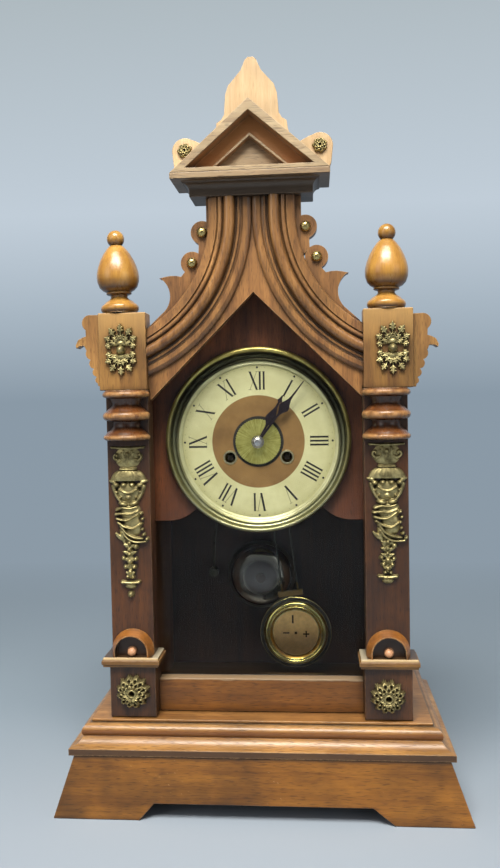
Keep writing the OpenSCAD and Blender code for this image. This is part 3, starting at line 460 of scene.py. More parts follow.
def soften(piece: bpy.types.Object, width: float) -> None:
    """Rounds a frame piece's sharp edges with modifiers, which leave its own mesh as it is.

    Args:
        piece: The piece.
        width: The width of the rounding in millimetres.
    """
    weld = piece.modifiers.new("weld", "WELD")
    weld.merge_threshold = WELD * MM
    flat = piece.modifiers.new("flat", "DECIMATE")
    flat.decimate_type = "DISSOLVE"
    flat.angle_limit = math.radians(FLAT_ANGLE)
    bevel = piece.modifiers.new("edges", "BEVEL")
    bevel.width = width * MM
    bevel.segments = 2
    bevel.limit_method = "ANGLE"
    bevel.angle_limit = math.radians(ROUNDED_ANGLE)
    bevel.use_clamp_overlap = True
    normals = piece.modifiers.new("normals", "WEIGHTED_NORMAL")
    normals.keep_sharp = False


def solid(name: str, vertices: Sequence, faces: Sequence, smooth: bool = True) -> bpy.types.Object:
    """Makes a piece from vertices in millimetres in the row frame.

    Args:
        name: The piece's name.
        vertices: Its vertices.
        faces: Its faces, as lists of vertex numbers.
        smooth: Whether its faces are shaded smooth, with sharp edges kept.

    Returns:
        The piece.
    """
    mesh = bpy.data.meshes.new(name)
    mesh.from_pydata([tuple(c * MM for c in v) for v in vertices], [], faces)
    mesh.validate()
    piece = bpy.data.objects.new(name, mesh)
    bpy.context.scene.collection.objects.link(piece)
    if smooth:
        mesh.shade_smooth()
        mesh.set_sharp_from_angle(angle=math.radians(SHARP_ANGLE))
    return piece


def turned(name: str, outline: Sequence[Point], at: tuple[float, float, float], steps: int = 144
           ) -> bpy.types.Object:
    """Makes a round piece about an axis that runs from the front to the back.

    Args:
        name: The piece's name.
        outline: Its closed section, as radius and height in front of the middle.
        at: Its middle.
        steps: How many faces go round it.

    Returns:
        The piece.
    """
    angles = [2 * math.pi * i / steps for i in range(steps)]
    vertices = [(at[0] + r * math.cos(a), at[1] - h, at[2] + r * math.sin(a))
                for r, h in outline for a in angles]
    count = len(outline)
    faces = []
    for k in range(count):
        m = (k + 1) % count
        for i in range(steps):
            j = (i + 1) % steps
            faces.append([k * steps + i, k * steps + j, m * steps + j, m * steps + i])
    piece = solid(name, vertices, faces)
    work = bmesh.new()
    work.from_mesh(piece.data)
    bmesh.ops.recalc_face_normals(work, faces=work.faces)
    work.to_mesh(piece.data)
    work.free()
    return piece


def prism(vertices: list, faces: list, outline: Sequence[Point], front: float, back: float) -> None:
    """Adds a thin flat layer to a mesh.

    Args:
        vertices: The mesh's vertices.
        faces: The mesh's faces.
        outline: The layer's outline, as places across and up.
        front: Where its front lies.
        back: Where its back lies.
    """
    start, count = len(vertices), len(outline)
    for y in (front, back):
        vertices += [(x, y, z) for x, z in outline]
    faces.append(list(range(start, start + count)))
    faces.append(list(range(start + 2 * count - 1, start + count - 1, -1)))
    for i in range(count):
        j = (i + 1) % count
        faces.append([start + j, start + i, start + count + i, start + count + j])


def carried(piece: bpy.types.Object, body: str, slot: str, material: bpy.types.Material,
            *nodes: str) -> bpy.types.Object:
    """Gives a new piece its finish, lets it ride on a body, and hides the frame's pieces that it stands for.

    Args:
        piece: The piece.
        body: The body that carries it.
        slot: Not used.
        material: Its finish.
        nodes: The frame's pieces that it stands for.

    Returns:
        The piece.
    """
    piece.data.materials.clear()
    piece.data.materials.append(material)
    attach(piece, body)
    if nodes:
        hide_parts(*nodes)
    LOG.info("made %s on %s", piece.name, body)
    return piece


class Relief:
    """A pressed sheet of brass, written as heights over a flat face.

    Its outline is where it meets the face.
    """

    FLOOR = -0.5
    BACK = -0.7

    def __init__(self, left: float, right: float, low: float, high: float, step: float) -> None:
        """Starts an empty sheet.

        Args:
            left: Its left edge.
            right: Its right edge.
            low: Its lower edge.
            high: Its upper edge.
            step: The distance between its points.
        """
        self.x, self.z = np.meshgrid(np.arange(left, right + step, step), np.arange(low, high + step, step))
        self.h = np.full(self.x.shape, self.FLOOR)

    def lift(self, heights: np.ndarray) -> None:
        """Raises the sheet wherever the given heights are above it."""
        self.h = np.maximum(self.h, heights)

    @staticmethod
    def crown(q: np.ndarray, height: float | np.ndarray, base: float = 0.0) -> np.ndarray:
        """Returns a round ridge: full height where q is 0, its base where q is 1, and lower further out."""
        inside = base + (height - base) * np.sqrt(np.clip(1 - q * q, 0, 1))
        return np.where(q < 1, inside, base - (q - 1) * 3)

    def bead(self, x: float, z: float, r: float, height: float, base: float = 0.0) -> None:
        """Adds a round bead."""
        self.lift(self.crown(np.hypot(self.x - x, self.z - z) / r, height, base))

    def oval(self, x: float, z: float, rx: float, rz: float, height: float, turn: float = 0.0,
             flutes: int = 0, depth: float = 0.0) -> None:
        """Adds an oval dome, with flutes if they are asked for.

        Args:
            x: Its middle.
            z: Its middle's height.
            rx: Its half width.
            rz: Its half length.
            height: Its height over the face.
            turn: Its turn in degrees.
            flutes: How many flutes run to its edge.
            depth: How deep they are, as a share of the height.
        """
        a = math.radians(turn)
        dx, dz = self.x - x, self.z - z
        u = (dx * math.cos(a) + dz * math.sin(a)) / rx
        v = (-dx * math.sin(a) + dz * math.cos(a)) / rz
        rise = height * (1 - depth * (0.5 + 0.5 * np.cos(flutes * np.arctan2(v, u)))) if flutes else height
        self.lift(self.crown(np.hypot(u, v), rise))

    def ridge(self, points: Sequence[Point], radii: Sequence[float], heights: Sequence[float]) -> None:
        """Adds a round ridge along a smooth line.

        Args:
            points: Points that the line goes through.
            radii: Half widths, spread evenly along the line.
            heights: Heights, spread evenly along the line.
        """
        line = smooth_line(points, 8)
        at = np.linspace(0, 1, len(line))
        r = np.interp(at, np.linspace(0, 1, len(radii)), radii)
        h = np.interp(at, np.linspace(0, 1, len(heights)), heights)
        for i in range(len(line) - 1):
            p, d = line[i], line[i + 1] - line[i]
            t = np.clip(((self.x - p[0]) * d[0] + (self.z - p[1]) * d[1]) / max(d @ d, 1e-9), 0, 1)
            far = np.hypot(self.x - p[0] - t * d[0], self.z - p[1] - t * d[1])
            near_r = r[i] + (r[i + 1] - r[i]) * t
            near_h = h[i] + (h[i + 1] - h[i]) * t
            close = far < 1.3 * near_r + 0.6
            rise = self.crown(np.where(close, far / near_r, 2.0), near_h)
            self.lift(np.where(close, rise, self.FLOOR))

    def leaf(self, base: Point, tip: Point, width: float, height: float, bend: float = 0.0) -> None:
        """Adds a pointed leaf with a groove along its middle.

        Args:
            base: Where it starts.
            tip: Where it ends.
            width: Its full width.
            height: Its height over the face.
            bend: How far its middle stands to the side.
        """
        a, b = np.array(base, float), np.array(tip, float)
        d = b - a
        long = float(np.hypot(*d))
        u = ((self.x - a[0]) * d[0] + (self.z - a[1]) * d[1]) / long
        v = (-(self.x - a[0]) * d[1] + (self.z - a[1]) * d[0]) / long
        t = np.clip(u / long, 0, 1)
        v = v - bend * 4 * t * (1 - t)
        half = width / 2 * np.sqrt(np.clip(t * (1 - t) * 4, 0, 1)) * (1.15 - 0.4 * t)
        q = np.where((u > 0) & (u < long), np.abs(v) / np.maximum(half, 0.01), 3)
        groove = 0.45 * height * np.exp(-((v / (0.16 * width)) ** 2))
        self.lift(np.where(q < 1, self.crown(q, height) - groove * (1 - t), self.FLOOR))

    def piece(self, name: str, put: Callable[[float, float, float], tuple]) -> bpy.types.Object:
        """Makes the closed piece.

        Args:
            name: The piece's name.
            put: Turns a point of the sheet, and its height, into a place in the row frame.

        Returns:
            The piece.
        """
        kept = self.h > self.FLOOR + 0.02
        cells = kept[:-1, :-1] | kept[1:, :-1] | kept[:-1, 1:] | kept[1:, 1:]
        rows, columns = np.nonzero(cells)
        width = self.h.shape[1]
        corners = np.stack([rows * width + columns, rows * width + columns + 1,
                            (rows + 1) * width + columns + 1, (rows + 1) * width + columns], 1)
        used, faces = np.unique(corners, return_inverse=True)
        faces = faces.reshape(-1, 4)
        x, z, h = self.x.ravel()[used], self.z.ravel()[used], self.h.ravel()[used]
        count = len(used)
        edges: dict[tuple[int, int], int] = {}
        for face in faces.tolist():
            for k in range(4):
                edges[(face[k], face[(k + 1) % 4])] = 1
        rim = [(a, b) for a, b in edges if (b, a) not in edges]
        front = [put(*p) for p in zip(x, z, h)]
        back = [put(a, b, self.BACK) for a, b in zip(x, z)]
        shell = faces.tolist() + [[count + i for i in reversed(face)] for face in faces.tolist()]
        shell += [[b, a, count + a, count + b] for a, b in rim]
        piece = solid(name, front + back, shell, smooth=False)
        piece.data.shade_smooth()
        return piece


def smooth_line(points: Sequence[Point], steps: int) -> np.ndarray:
    """Runs a smooth line through points.

    Args:
        points: The points.
        steps: How many pieces each stretch is cut into.

    Returns:
        The line's points.
    """
    p = np.array(points, float)
    if len(p) < 3:
        t = np.linspace(0, 1, steps + 1)[:, None]
        return p[0] * (1 - t) + p[-1] * t
    p = np.vstack([2 * p[0] - p[1], p, 2 * p[-1] - p[-2]])
    out = []
    for i in range(1, len(p) - 2):
        for t in np.arange(steps) / steps:
            a = 2 * p[i]
            b = (p[i + 1] - p[i - 1]) * t
            c = (2 * p[i - 1] - 5 * p[i] + 4 * p[i + 1] - p[i + 2]) * t * t
            d = (3 * p[i] - p[i - 1] - 3 * p[i + 1] + p[i + 2]) * t ** 3
            out.append((a + b + c + d) / 2)
    out.append(p[-2])
    return np.array(out)


def on_face(x: float, y: float) -> Callable[[float, float, float], tuple]:
    """Returns the way in which a sheet is put on an upright face, with its middle at x."""
    return lambda u, z, h: (x + u, y - h, z)


@dataclass
class Timber:
    """All the wooden pieces with their finishes.

    The sizes say where the middles of the hoods, of their beads and of the posts' turnings are.
    """

    hood_x: float = 101.5
    hood_z: float = 127.7
    bead_z: float = 127.2
    post_x: float = 101.9
    post_y: float = -56.0

    def recess(self, g: Graph) -> Socket:
        """Measures from the middle of the hoods' recess, which has straight sides under a round top."""
        above = g.calc("MAXIMUM", g.calc("SUBTRACT", g.height(), self.hood_z), 0.0)
        return g.length(g.calc("SUBTRACT", g.aside(), self.hood_x), above)

    def bead(self, g: Graph) -> Socket:
        """Measures from the axis of the bead in the hoods' recess."""
        return g.ring(self.hood_x, self.bead_z, mirrored=True)

    def post(self, g: Graph) -> Socket:
        """Measures from the upright axis of the posts' turnings."""
        across = g.calc("SUBTRACT", g.aside(), self.post_x)
        return g.length(across, g.calc("SUBTRACT", self.post_y, g.depth()))

    @staticmethod
    def ragged_height(g: Graph) -> Socket:
        """Measures the height with a ragged line, as wear leaves it."""
        ragged = g.noise(g.scaled(g.place(), 60, 60, 300), detail=3)
        return g.calc("ADD", g.height(), g.spread(ragged, 0.3, 0.7, -0.5, 0.5))

    @staticmethod
    def speckle(g: Graph) -> Socket:
        """Gives a random pattern, which breaks up a worn place with a painted highlight."""
        return g.noise(g.place(), 220, 3, 0.6)

    def tints(self) -> dict[str, tuple[Tint, ...]]:
        """Lists the tints of each finish that has some.

        Returns:
            The tints, by the finish's name.
        """
        up, back, aside = Graph.height, Graph.depth, Graph.aside
        amber, slab_top = srgb(186, 122, 60), (up, 123.2, 123.5)
        return {
            # Shade of the fascia on the top of the skirt
            "skirt_wood": (Tint(srgb(34, 22, 13), 0.8, ((up, 47.6, 50.6),)),),
            # Painted shade on the lower side of the plinth's bead and in the groove under its lip, and
            # painted shade with a darker stain on the fascia
            "plinth_wood": (Tint(srgb(112, 62, 26), 0.72, ((up, 62.6, 63.4), (up, 69.4, 67.6))),
                            Tint(srgb(56, 42, 22), 0.85, ((up, 71.7, 72.1),)),
                            Tint(srgb(56, 36, 22), 0.86, ((up, 56.3, 55.7),))),
            # Painted shade on the part of the plinth's board that lies inside the case
            "board_wood": (Tint(srgb(20, 14, 10), 0.93, ((back, -42, -38), (aside, 100, 98))),),
            # Pale wood along the worn top edge of the rail
            "door_wood": (Tint(srgb(180, 162, 132), 0.45, ((self.ragged_height, 100.2, 100.8),)),),
            # Painted shadow on the top of the cap slabs round the hoods; pale wood on their bare upper edge
            # and on their bare inner end
            "cap_wood": (Tint(srgb(50, 34, 22), 0.85, (slab_top,)),
                         Tint(srgb(226, 196, 146), 0.8, ((up, 121.9, 122.5), (back, -63.6, -64.2))),
                         Tint(srgb(190, 178, 152), 0.8, (slab_top, (aside, 85.0, 83.6)))),
            # Painted shade in the recess of the hoods, and pale pink bead in it
            "hood_wood": (Tint(srgb(26, 17, 12), 0.9, ((self.recess, 13.0, 12.75),)),
                          Tint(srgb(206, 152, 112), 1.0, ((self.bead, 4.0, 3.7), (back, -57.4, -57.8)))),
            # Painted shade in the cove under the shelf
            "cornice_wood": (Tint(srgb(44, 34, 28), 0.86, ((up, 495.3, 494.6),)),),
            # Sunk face of the pediment, and the inner sides of its frame
            "pediment_wood": (Tint(amber, 0.85, ((back, -57.6, -57.0), (back, -54.6, -55.2))),
                              Tint(amber, 0.6, ((back, -68.2, -67.4), (back, -59.4, -60.2)))),
            # Painted light on the upper part of the capital blocks
            "capital_wood": (Tint(srgb(226, 180, 112), 0.5, ((up, 366, 397),)),),
            # Pale worn wood and painted highlight on the rims of the turnings, and painted shade in the
            # hollows between them
            "turned_wood": (Tint(srgb(226, 170, 108), 0.55,
                                 ((self.post, 16.6, 18.4), (self.speckle, 0.25, 0.6))),
                            Tint(srgb(46, 27, 17), 0.55, ((self.post, 15.5, 12.0),))),
        }

    @staticmethod
    def finishes() -> list[WoodFinish]:
        """Lists the finish of every wooden piece.

        Returns:
            The finishes, in the order in which they are laid on.
        """
        up, level = Grain.UPRIGHT, Grain.ACROSS
        return [
            WoodFinish("skirt_wood", srgb(184, 122, 44), srgb(118, 70, 18), level, 0.9,
                       ("skirt_front", "skirt_returns"), scratches=0.8, patches=0.6),
            WoodFinish("plinth_wood", srgb(206, 156, 92), srgb(132, 84, 40), level, 0.5,
                       ("plinth_moulding",), gloss=0.32),
            WoodFinish("board_wood", srgb(196, 142, 78), srgb(132, 84, 40), level, 0.6,
                       ("plinth_board",), wear=0.8),
            WoodFinish("case_wood", srgb(126, 80, 38), srgb(72, 42, 18), up, 0.7,
                       ("case_sides", "roof_boards")),
            WoodFinish("back_wood", srgb(70, 40, 22), srgb(32, 18, 12), up, 0.7,
                       ("back_board",), wear=0.2, gloss=0.6, coat=0.0),
            WoodFinish("dial_board_wood", srgb(148, 84, 46), srgb(82, 42, 24), up, 0.4,
                       ("dial_board",), wear=0.2, gloss=0.5),
            WoodFinish("door_wood", srgb(160, 102, 36), srgb(98, 56, 18), level, 0.5, ("bottom_rail",)),
            WoodFinish("door_frame_wood", srgb(54, 34, 20), srgb(30, 18, 12), up, 0.5, ("door_frame",)),
            WoodFinish("fret_wood", srgb(182, 130, 76), srgb(108, 68, 34), up, 0.8, ("front_board",)),
            WoodFinish("ear_wood", srgb(200, 152, 88), srgb(132, 88, 44), up, 0.8, ("capital_ears",)),
            WoodFinish("capital_wood", srgb(166, 124, 66), srgb(112, 74, 36), up, 0.8,
                       ("capital_blocks",), flecks=0.4, patches=0.5),
            WoodFinish("hood_wood", srgb(190, 122, 48), srgb(110, 62, 22), level, 0.4,
                       ("arch_hoods",), flecks=0.3, reach=9, wear=0.9),
            WoodFinish("cap_wood", srgb(168, 122, 62), srgb(92, 58, 28), level, 0.5,
                       ("plinth_caps",), flecks=0.3),
            WoodFinish("arch_wood", srgb(184, 134, 80), srgb(104, 66, 34), up, 0.3,
                       ("arch_mouldings",), gloss=0.3, reach=9, shade_and_dirt=0.85),
            WoodFinish("post_wood", srgb(100, 58, 22), srgb(52, 27, 11), up, 0.8,
                       ("post_shafts",), patches=0.5),
            WoodFinish("block_wood", srgb(102, 61, 26), srgb(52, 29, 13), up, 0.7,
                       ("plinth_blocks",), patches=0.5),
            WoodFinish("turned_wood", srgb(138, 82, 38), srgb(66, 36, 17), up, 0.25,
                       ("post_turnings",), gloss=0.26, wear=0.9),
            # The finials carry strong painted shade on their undersides, and dirt and painted shade in their
            # hollows
            WoodFinish("finial_wood", srgb(220, 168, 82), srgb(160, 106, 42), up, 0.2,
                       ("finials",), flecks=0.2, gloss=0.26, coat=0.5, under=1.1, reach=7, shade_and_dirt=0.8),
            WoodFinish("cornice_wood", srgb(196, 170, 132), srgb(132, 104, 76), level, 0.6, ("cornice",)),
            WoodFinish("pediment_wood", srgb(214, 190, 150), srgb(150, 122, 90), level, 0.5,
                       ("pediment",), reach=8, shade_and_dirt=0.5),
            # The crest's pale colours are painted light, as of strong light from above
            WoodFinish("crest_wood", srgb(242, 212, 166), srgb(206, 168, 120), up, 0.9,
                       ("crest_board",), flecks=0.25),
        ]

    def build(self) -> None:
        """Dresses every wooden piece."""
        tints = self.tints()
        for finish in self.finishes():
            material = finish.material(tints.get(finish.name, ()))
            for node in finish.nodes:
                soften(dress(node, material), finish.edge)


BRASS = MetalFinish("mount_brass", srgb(200, 186, 132), srgb(44, 35, 20), rough=0.34, age=0.72, depth=4)
FINE_BRASS = MetalFinish("movement_brass", srgb(190, 164, 96), srgb(104, 84, 44), rough=0.35, age=0.5)
HINGE_BRASS = MetalFinish("hinge_brass", srgb(178, 156, 92), srgb(84, 68, 36), rough=0.4, age=0.6)
EYELET_BRASS = MetalFinish("eyelet_brass", srgb(214, 202, 160), srgb(130, 116, 76), rough=0.3, age=0.3)
STEEL = MetalFinish("arbor_steel", srgb(176, 176, 172), srgb(84, 80, 76), rough=0.3, age=0.4)
NICKEL = MetalFinish("stand_nickel", srgb(84, 78, 74), srgb(50, 46, 43), rough=0.14, age=0.2, depth=0.5)
BLACK = MetalFinish("hand_black", srgb(84, 74, 80), srgb(30, 24, 22), rough=0.26, age=0.6)
STUD_BRASS = MetalFinish("stud_brass", srgb(196, 176, 116), srgb(96, 78, 46), rough=0.18, age=0.3)
# Painted shade: the winding arbors are dark steel, painted darker still to stand for the shade in the winding
# holes
SHADED_WINDING_STEEL = MetalFinish("winding_steel", srgb(60, 54, 46), srgb(26, 22, 18), rough=0.4, age=0.6)
NUT_STEEL = MetalFinish("nut_steel", srgb(206, 204, 204), srgb(120, 112, 112), rough=0.2, age=0.4)
DISC_INK = MetalFinish("regulator_ink", srgb(70, 50, 30), srgb(40, 28, 18), rough=0.5, age=0.5)
COPPER = MetalFinish("regulator_copper", srgb(232, 190, 122), srgb(150, 108, 62), rough=0.32, age=0.4)


@dataclass
class Ornaments:
    """The pressed brass mounts of the posts, the capitals, the plinth blocks and the crest."""

    post_x: float = 101.5
    post_y: float = -56.0
    capital_y: float = -56.3
    block_y: float = -61.8
    ear_x: float = 54.0
    ear_y: float = -34.0
    ear_z: float = 526.0
    step: float = 0.4

    def post_sheet(self, left: bool) -> Relief:
        """Draws the tall drop: capital, dome, beaded band, waist, drapery, berries and console.

        Args:
            left: Whether it is the left one, which hangs lower and has kept its bead.

        Returns:
            The sheet.
        """
        sheet = Relief(-17, 17, 168, 293, self.step)
        self.draw_capital(sheet)
        self.draw_dome(sheet)
        self.draw_drapery(sheet)
        self.draw_tail(sheet, 182.0 if left else 186.4)
        if left:
            sheet.bead(0, 172.7, 2.8, 4.2)
        return sheet

    def draw_capital(self, sheet: Relief) -> None:
        """Draws the small capital with its two scrolls.

        Args:
            sheet: The sheet.
        """
        sheet.ridge([(-13, 290), (0, 289.4), (13, 290)], [1.0], [2.2])
        sheet.oval(0, 282, 10.5, 9, 1.6)
        for side in (-1, 1):
            turns = [(side * (8.6 - 0.9 * t * math.cos(t * 1.3)), 283.2 + 0.9 * t * math.sin(t * 1.3))
                     for t in np.linspace(4.2, 0.4, 12)]
            sheet.ridge(turns, [1.3, 1.1, 0.7], [2.6, 3.0, 3.4])
            sheet.bead(side * 8.6, 283.2, 1.2, 3.6)
            sheet.ridge([(side * 3.4, 287), (side * 4.6, 281), (side * 8.4, 278.2)], [1.2, 0.9], [2.6, 2.2])
            sheet.leaf((0, 276.4), (side * 5.6, 286), 3.4, 2.6, side * 0.6)
        sheet.bead(0, 284.6, 2.0, 3.6)
        sheet.leaf((0, 276), (0, 283), 3.6, 3.0)

    def draw_dome(self, sheet: Relief) -> None:
        """Draws the ring, the ribbed dome, the band of beads and the waist under it.

        Args:
            sheet: The sheet.
        """
        sheet.ridge([(-6, 272.8), (0, 272.5), (6, 272.8)], [1.1], [3.2])
        x, z = sheet.x, sheet.z
        rise = np.clip((z - 263.4) / 8.2, 0, 1)
        half = 7.0 + 7.6 * np.sqrt(np.clip(1 - rise ** 1.6, 0, 1))
        ribs = 1 - 0.10 * (0.5 + 0.5 * np.cos(x / np.maximum(half, 1) * math.pi * 7))
        dome = 4.8 * np.sqrt(np.clip(1 - (x / half) ** 2, 0, 1)) * ribs
        dome = dome * (0.72 + 0.28 * np.sin(math.pi * (0.25 + 0.7 * rise)))
        sheet.lift(np.where((z > 263.4) & (z < 271.6) & (np.abs(x) < half), dome, sheet.FLOOR))
        for side in (-1, 1):
            sheet.ridge([(side * 11.4, 262.6), (side * 15, 263.4)], [2.0, 0.8], [3.4, 1.6])
            sheet.ridge([(side * 12.2, 259), (side * 9.8, 252), (side * 6.4, 246.8)], [1.8, 1.5, 1.2],
                        [2.2, 2.8, 3.0])
            sheet.bead(side * 9.2, 254.6, 1.2, 3.8)
            sheet.bead(side * 6.2, 250.4, 1.2, 4.0)
        for at in (-9.6, -3.3, 3.3, 9.6):
            sheet.oval(at, 260.4, 2.7, 2.1, 5.2)
        sheet.oval(0, 254.5, 9.4, 9, 3.0)
        sheet.ridge([(-7, 257), (-3.6, 254.6), (0, 253.8), (3.6, 254.6), (7, 257)], [1.0], [4.2])
        sheet.oval(0, 250.4, 3.6, 2.6, 3.8)

    def draw_drapery(self, sheet: Relief) -> None:
        """Draws the knot and the folds that fall to the right, with ruffles at their side.

        Args:
            sheet: The sheet.
        """
        sheet.oval(-4.2, 245.2, 4.4, 2.0, 5.0, turn=-12)
        sheet.oval(4.0, 245.6, 4.2, 2.0, 4.8, turn=14)
        sheet.oval(1.0, 238.5, 8.4, 8, 3.0)
        sheet.oval(2.4, 229, 6.6, 10, 2.6, turn=22)
        folds = [
            [(-9.6, 240.6), (-4.6, 242.2), (1, 241.6), (6.8, 243)],
            [(-10.4, 237), (-5.4, 237.6), (1, 237.2), (7.6, 239.6)],
            [(-9.6, 233.4), (-5, 232.4), (0.2, 232.6), (6.8, 236.6)],
            [(-8.6, 230.2), (-3.6, 227.2), (2.8, 225.4), (8.2, 228.4)],
            [(-6.6, 227.4), (-2, 221.6), (4.4, 218.2), (10.6, 217.4)],
            [(-5.4, 222.6), (-1.4, 217.6), (4.6, 214.8), (13, 215)],
        ]
        for n, fold in enumerate(folds):
            sheet.ridge(fold, [1.5, 1.25, 1.25, 0.9], [4.0 - 0.1 * n, 4.8 - 0.15 * n, 4.6 - 0.15 * n, 3.2])
        for x, z, r in ((9.8, 237.4, 1.7), (10.8, 233.2, 1.6), (9.8, 229.2, 1.6), (10.4, 224.8, 1.6),
                        (11.6, 220.6, 1.9), (14, 217, 1.9)):
            sheet.oval(x, z, r, r * 0.8, 3.8, turn=30)
        sheet.leaf((-3, 216), (-11.4, 222.4), 4.2, 2.8, 0.8)
        sheet.ridge([(-6.2, 224), (-5, 217), (-2.6, 210.6)], [2.0, 1.6, 1.3], [2.6, 2.4, 2.0])

    def draw_tail(self, sheet: Relief, console_z: float) -> None:
        """Draws the stem with its leaves and berries, and the console under it.

        Args:
            sheet: The sheet.
            console_z: The height of the console, which the berries follow.
        """
        low = console_z - 187.0
        sheet.ridge([(0.6, 222), (0, 210), (0, 192 + low)], [4.6, 2.6, 2.2], [1.8, 1.6, 1.6])
        for side in (-1, 1):
            for z, long in ((212, 5.2), (207, 5.6), (202.4, 5.4), (197.6, 4.6), (193, 3.8)):
                root_z = z + low * (222 - z) / 30
                sheet.leaf((side * 0.6, root_z), (side * long, root_z + 2.6), 3.2, 3.0, side * 0.4)
        for x, z, r in ((0, 214, 2.0), (5.0, 211.2, 2.4), (-0.2, 209, 1.9), (-0.2, 205.2, 1.7)):
            sheet.bead(x, z, r, 2.6 + r * 0.8)
        for x, z, r in ((-5, 201.6, 1.9), (4.6, 201, 1.8), (0, 199.8, 2.6), (-3.6, 196.6, 2.0),
                        (3.4, 196.4, 1.9), (0, 193.6, 2.2), (-2.2, 190.6, 1.5), (2.2, 190.4, 1.5)):
            sheet.bead(x, z + low * (201 - z) / 14, r, 2.4 + r * 0.8)
        sheet.ridge([(-6.8, console_z + 0.6), (0, console_z), (6.8, console_z + 0.6)], [1.5], [3.8])
        sheet.oval(0, console_z - 2.8, 4.4, 2.4, 2.8)

    def capital_sheet(self, z0: float) -> Relief:
        """Draws two fans of lobed leaves about a ball.

        Args:
            z0: The height of the ball.

        Returns:
            The sheet.
        """
        sheet = Relief(-15.5, 15.5, z0 - 22, z0 + 22, 0.28)
        sheet.ridge([(0, z0 - 8), (0, z0 + 8)], [2.4], [1.6])
        for up, reach in ((1, 1.0), (-1, 0.97)):
            root = np.array((0.0, z0 + up * 4.2))
            for angle, start, end in ((0, 9.4, 16.4), (34, 9.2, 15.8), (66, 8.6, 14.2), (94, 7.6, 12.4)):
                for side in (-1, 1) if angle else (1,):
                    self.draw_leaflet(sheet, root, side * angle, up, start * reach, end * reach, 4.6)
            for angle in (-78, -46, -16, 16, 46, 78):
                self.draw_leaflet(sheet, root, angle, up, 3.2 * reach, 8.8 * reach, 3.6)
            sheet.oval(0, root[1] + up * 1.2, 3.4, 2.4, 3.0)
        sheet.bead(0, z0, 3.6, 6.0)
        return sheet

    def draw_leaflet(self, sheet: Relief, root: np.ndarray, angle: float, up: int, start: float, end: float,
                     width: float) -> None:
        """Draws a small lobed leaf on a thin stem.

        Args:
            sheet: The sheet.
            root: Where the stems start.
            angle: The leaf's lean in degrees.
            up: 1 for the upper fan and -1 for the lower one.
            start: How far from the root the leaf starts.
            end: How far from the root it ends.
            width: Its width.
        """
        a = math.radians(angle)
        way = np.array((math.sin(a), up * math.cos(a)))
        cross = np.array((-way[1], way[0]))
        base, tip = root + way * start, root + way * end
        sheet.ridge([tuple(root + way), tuple(base + way)], [0.75], [1.8])
        sheet.leaf(base, tip, width * 0.8, 3.4)
        for share, out in ((0.28, 0.42), (0.6, 0.36)):
            for hand in (-1, 1):
                spot = base + (tip - base) * share + cross * width * out * hand
                sheet.bead(spot[0], spot[1], width * 0.21, 2.9)

    def flower_sheet(self, r: float, petals: int, z0: float) -> Relief:
        """Draws a domed flower of three rows of leafy petals about a hollow.

        Args:
            r: Its outer radius.
            petals: How many petals a row has.
            z0: The height of its middle.

        Returns:
            The sheet.
        """
        sheet = Relief(-r - 1, r + 1, z0 - r - 1, z0 + r + 1, max(0.2, r / 44))
        far = np.hypot(sheet.x, sheet.z - z0) / r
        turn = np.arctan2(sheet.z - z0, sheet.x)
        dome = 0.46 * r * np.sqrt(np.clip(1 - (far * 0.94) ** 2, 0, 1))
        rows = ((1.0, 0.62, 0.0, 0.0), (0.80, 0.40, 0.07, 0.5), (0.57, 0.2, 0.13, 0.0))
        for reach, start, rise, phase in rows:
            part = (turn / (2 * math.pi) * petals + phase) % 1 - 0.5
            lobed = reach * (1 - 0.24 * np.abs(2 * part) ** 1.4 - 0.035 * (1 - np.cos(part * 10 * math.pi)))
            q = far / np.maximum(lobed, 0.01)
            curl = 0.07 * r * np.exp(-((q - 0.86) / 0.12) ** 2)
            seam = 0.11 * r * np.exp(-((np.abs(part) - 0.5) / 0.09) ** 2)
            vein = 0.04 * r * np.exp(-(part / 0.07) ** 2)
            under = 0.10 * r * np.clip((start + 0.12 - far) / 0.12, 0, 1)
            body = dome + rise * r + curl - seam - vein - under
            fall = np.clip((1 - q) / 0.14, 0, 1) ** 0.5
            sheet.lift(np.where(q < 1, body * fall, sheet.FLOOR))
        ring = np.abs(far - 0.2) / 0.07
        sheet.lift(Relief.crown(ring, 0.56 * r, 0.42 * r) * (ring < 1) + sheet.FLOOR * (ring >= 1))
        cup = far < 0.16
        sheet.h = np.where(cup, 0.2 * r + 0.2 * r * (far / 0.16) ** 2, sheet.h)
        return sheet

    def build(self) -> None:
        """Puts every ornament in its place."""
        brass = BRASS.material()
        places = (
            ("post_mount_left", self.post_sheet(True), -self.post_x, self.post_y, "post_mounts"),
            ("post_mount_right", self.post_sheet(False), self.post_x, self.post_y, "post_mounts"),
            ("capital_mount_left", self.capital_sheet(366.8), -104.8, self.capital_y, "capital_mounts"),
            ("capital_mount_right", self.capital_sheet(363.4), 107.0, self.capital_y, "capital_mounts"),
            ("block_rosette_left", self.flower_sheet(14.4, 12, 96.0), -100.4, self.block_y, "rosettes"),
            ("block_rosette_right", self.flower_sheet(14.2, 12, 94.0), 100.0, self.block_y, "rosettes"),
            ("ear_rosette_left", self.flower_sheet(6.4, 7, self.ear_z), -self.ear_x, self.ear_y, "rosettes"),
            ("ear_rosette_right", self.flower_sheet(6.4, 7, self.ear_z), self.ear_x, self.ear_y, "rosettes"),
        )
        for name, sheet, x, y, node in places:
            carried(sheet.piece(name, on_face(x, y)), "door", "mount_brass", brass, node)
        dress("fret_studs", STUD_BRASS.material())


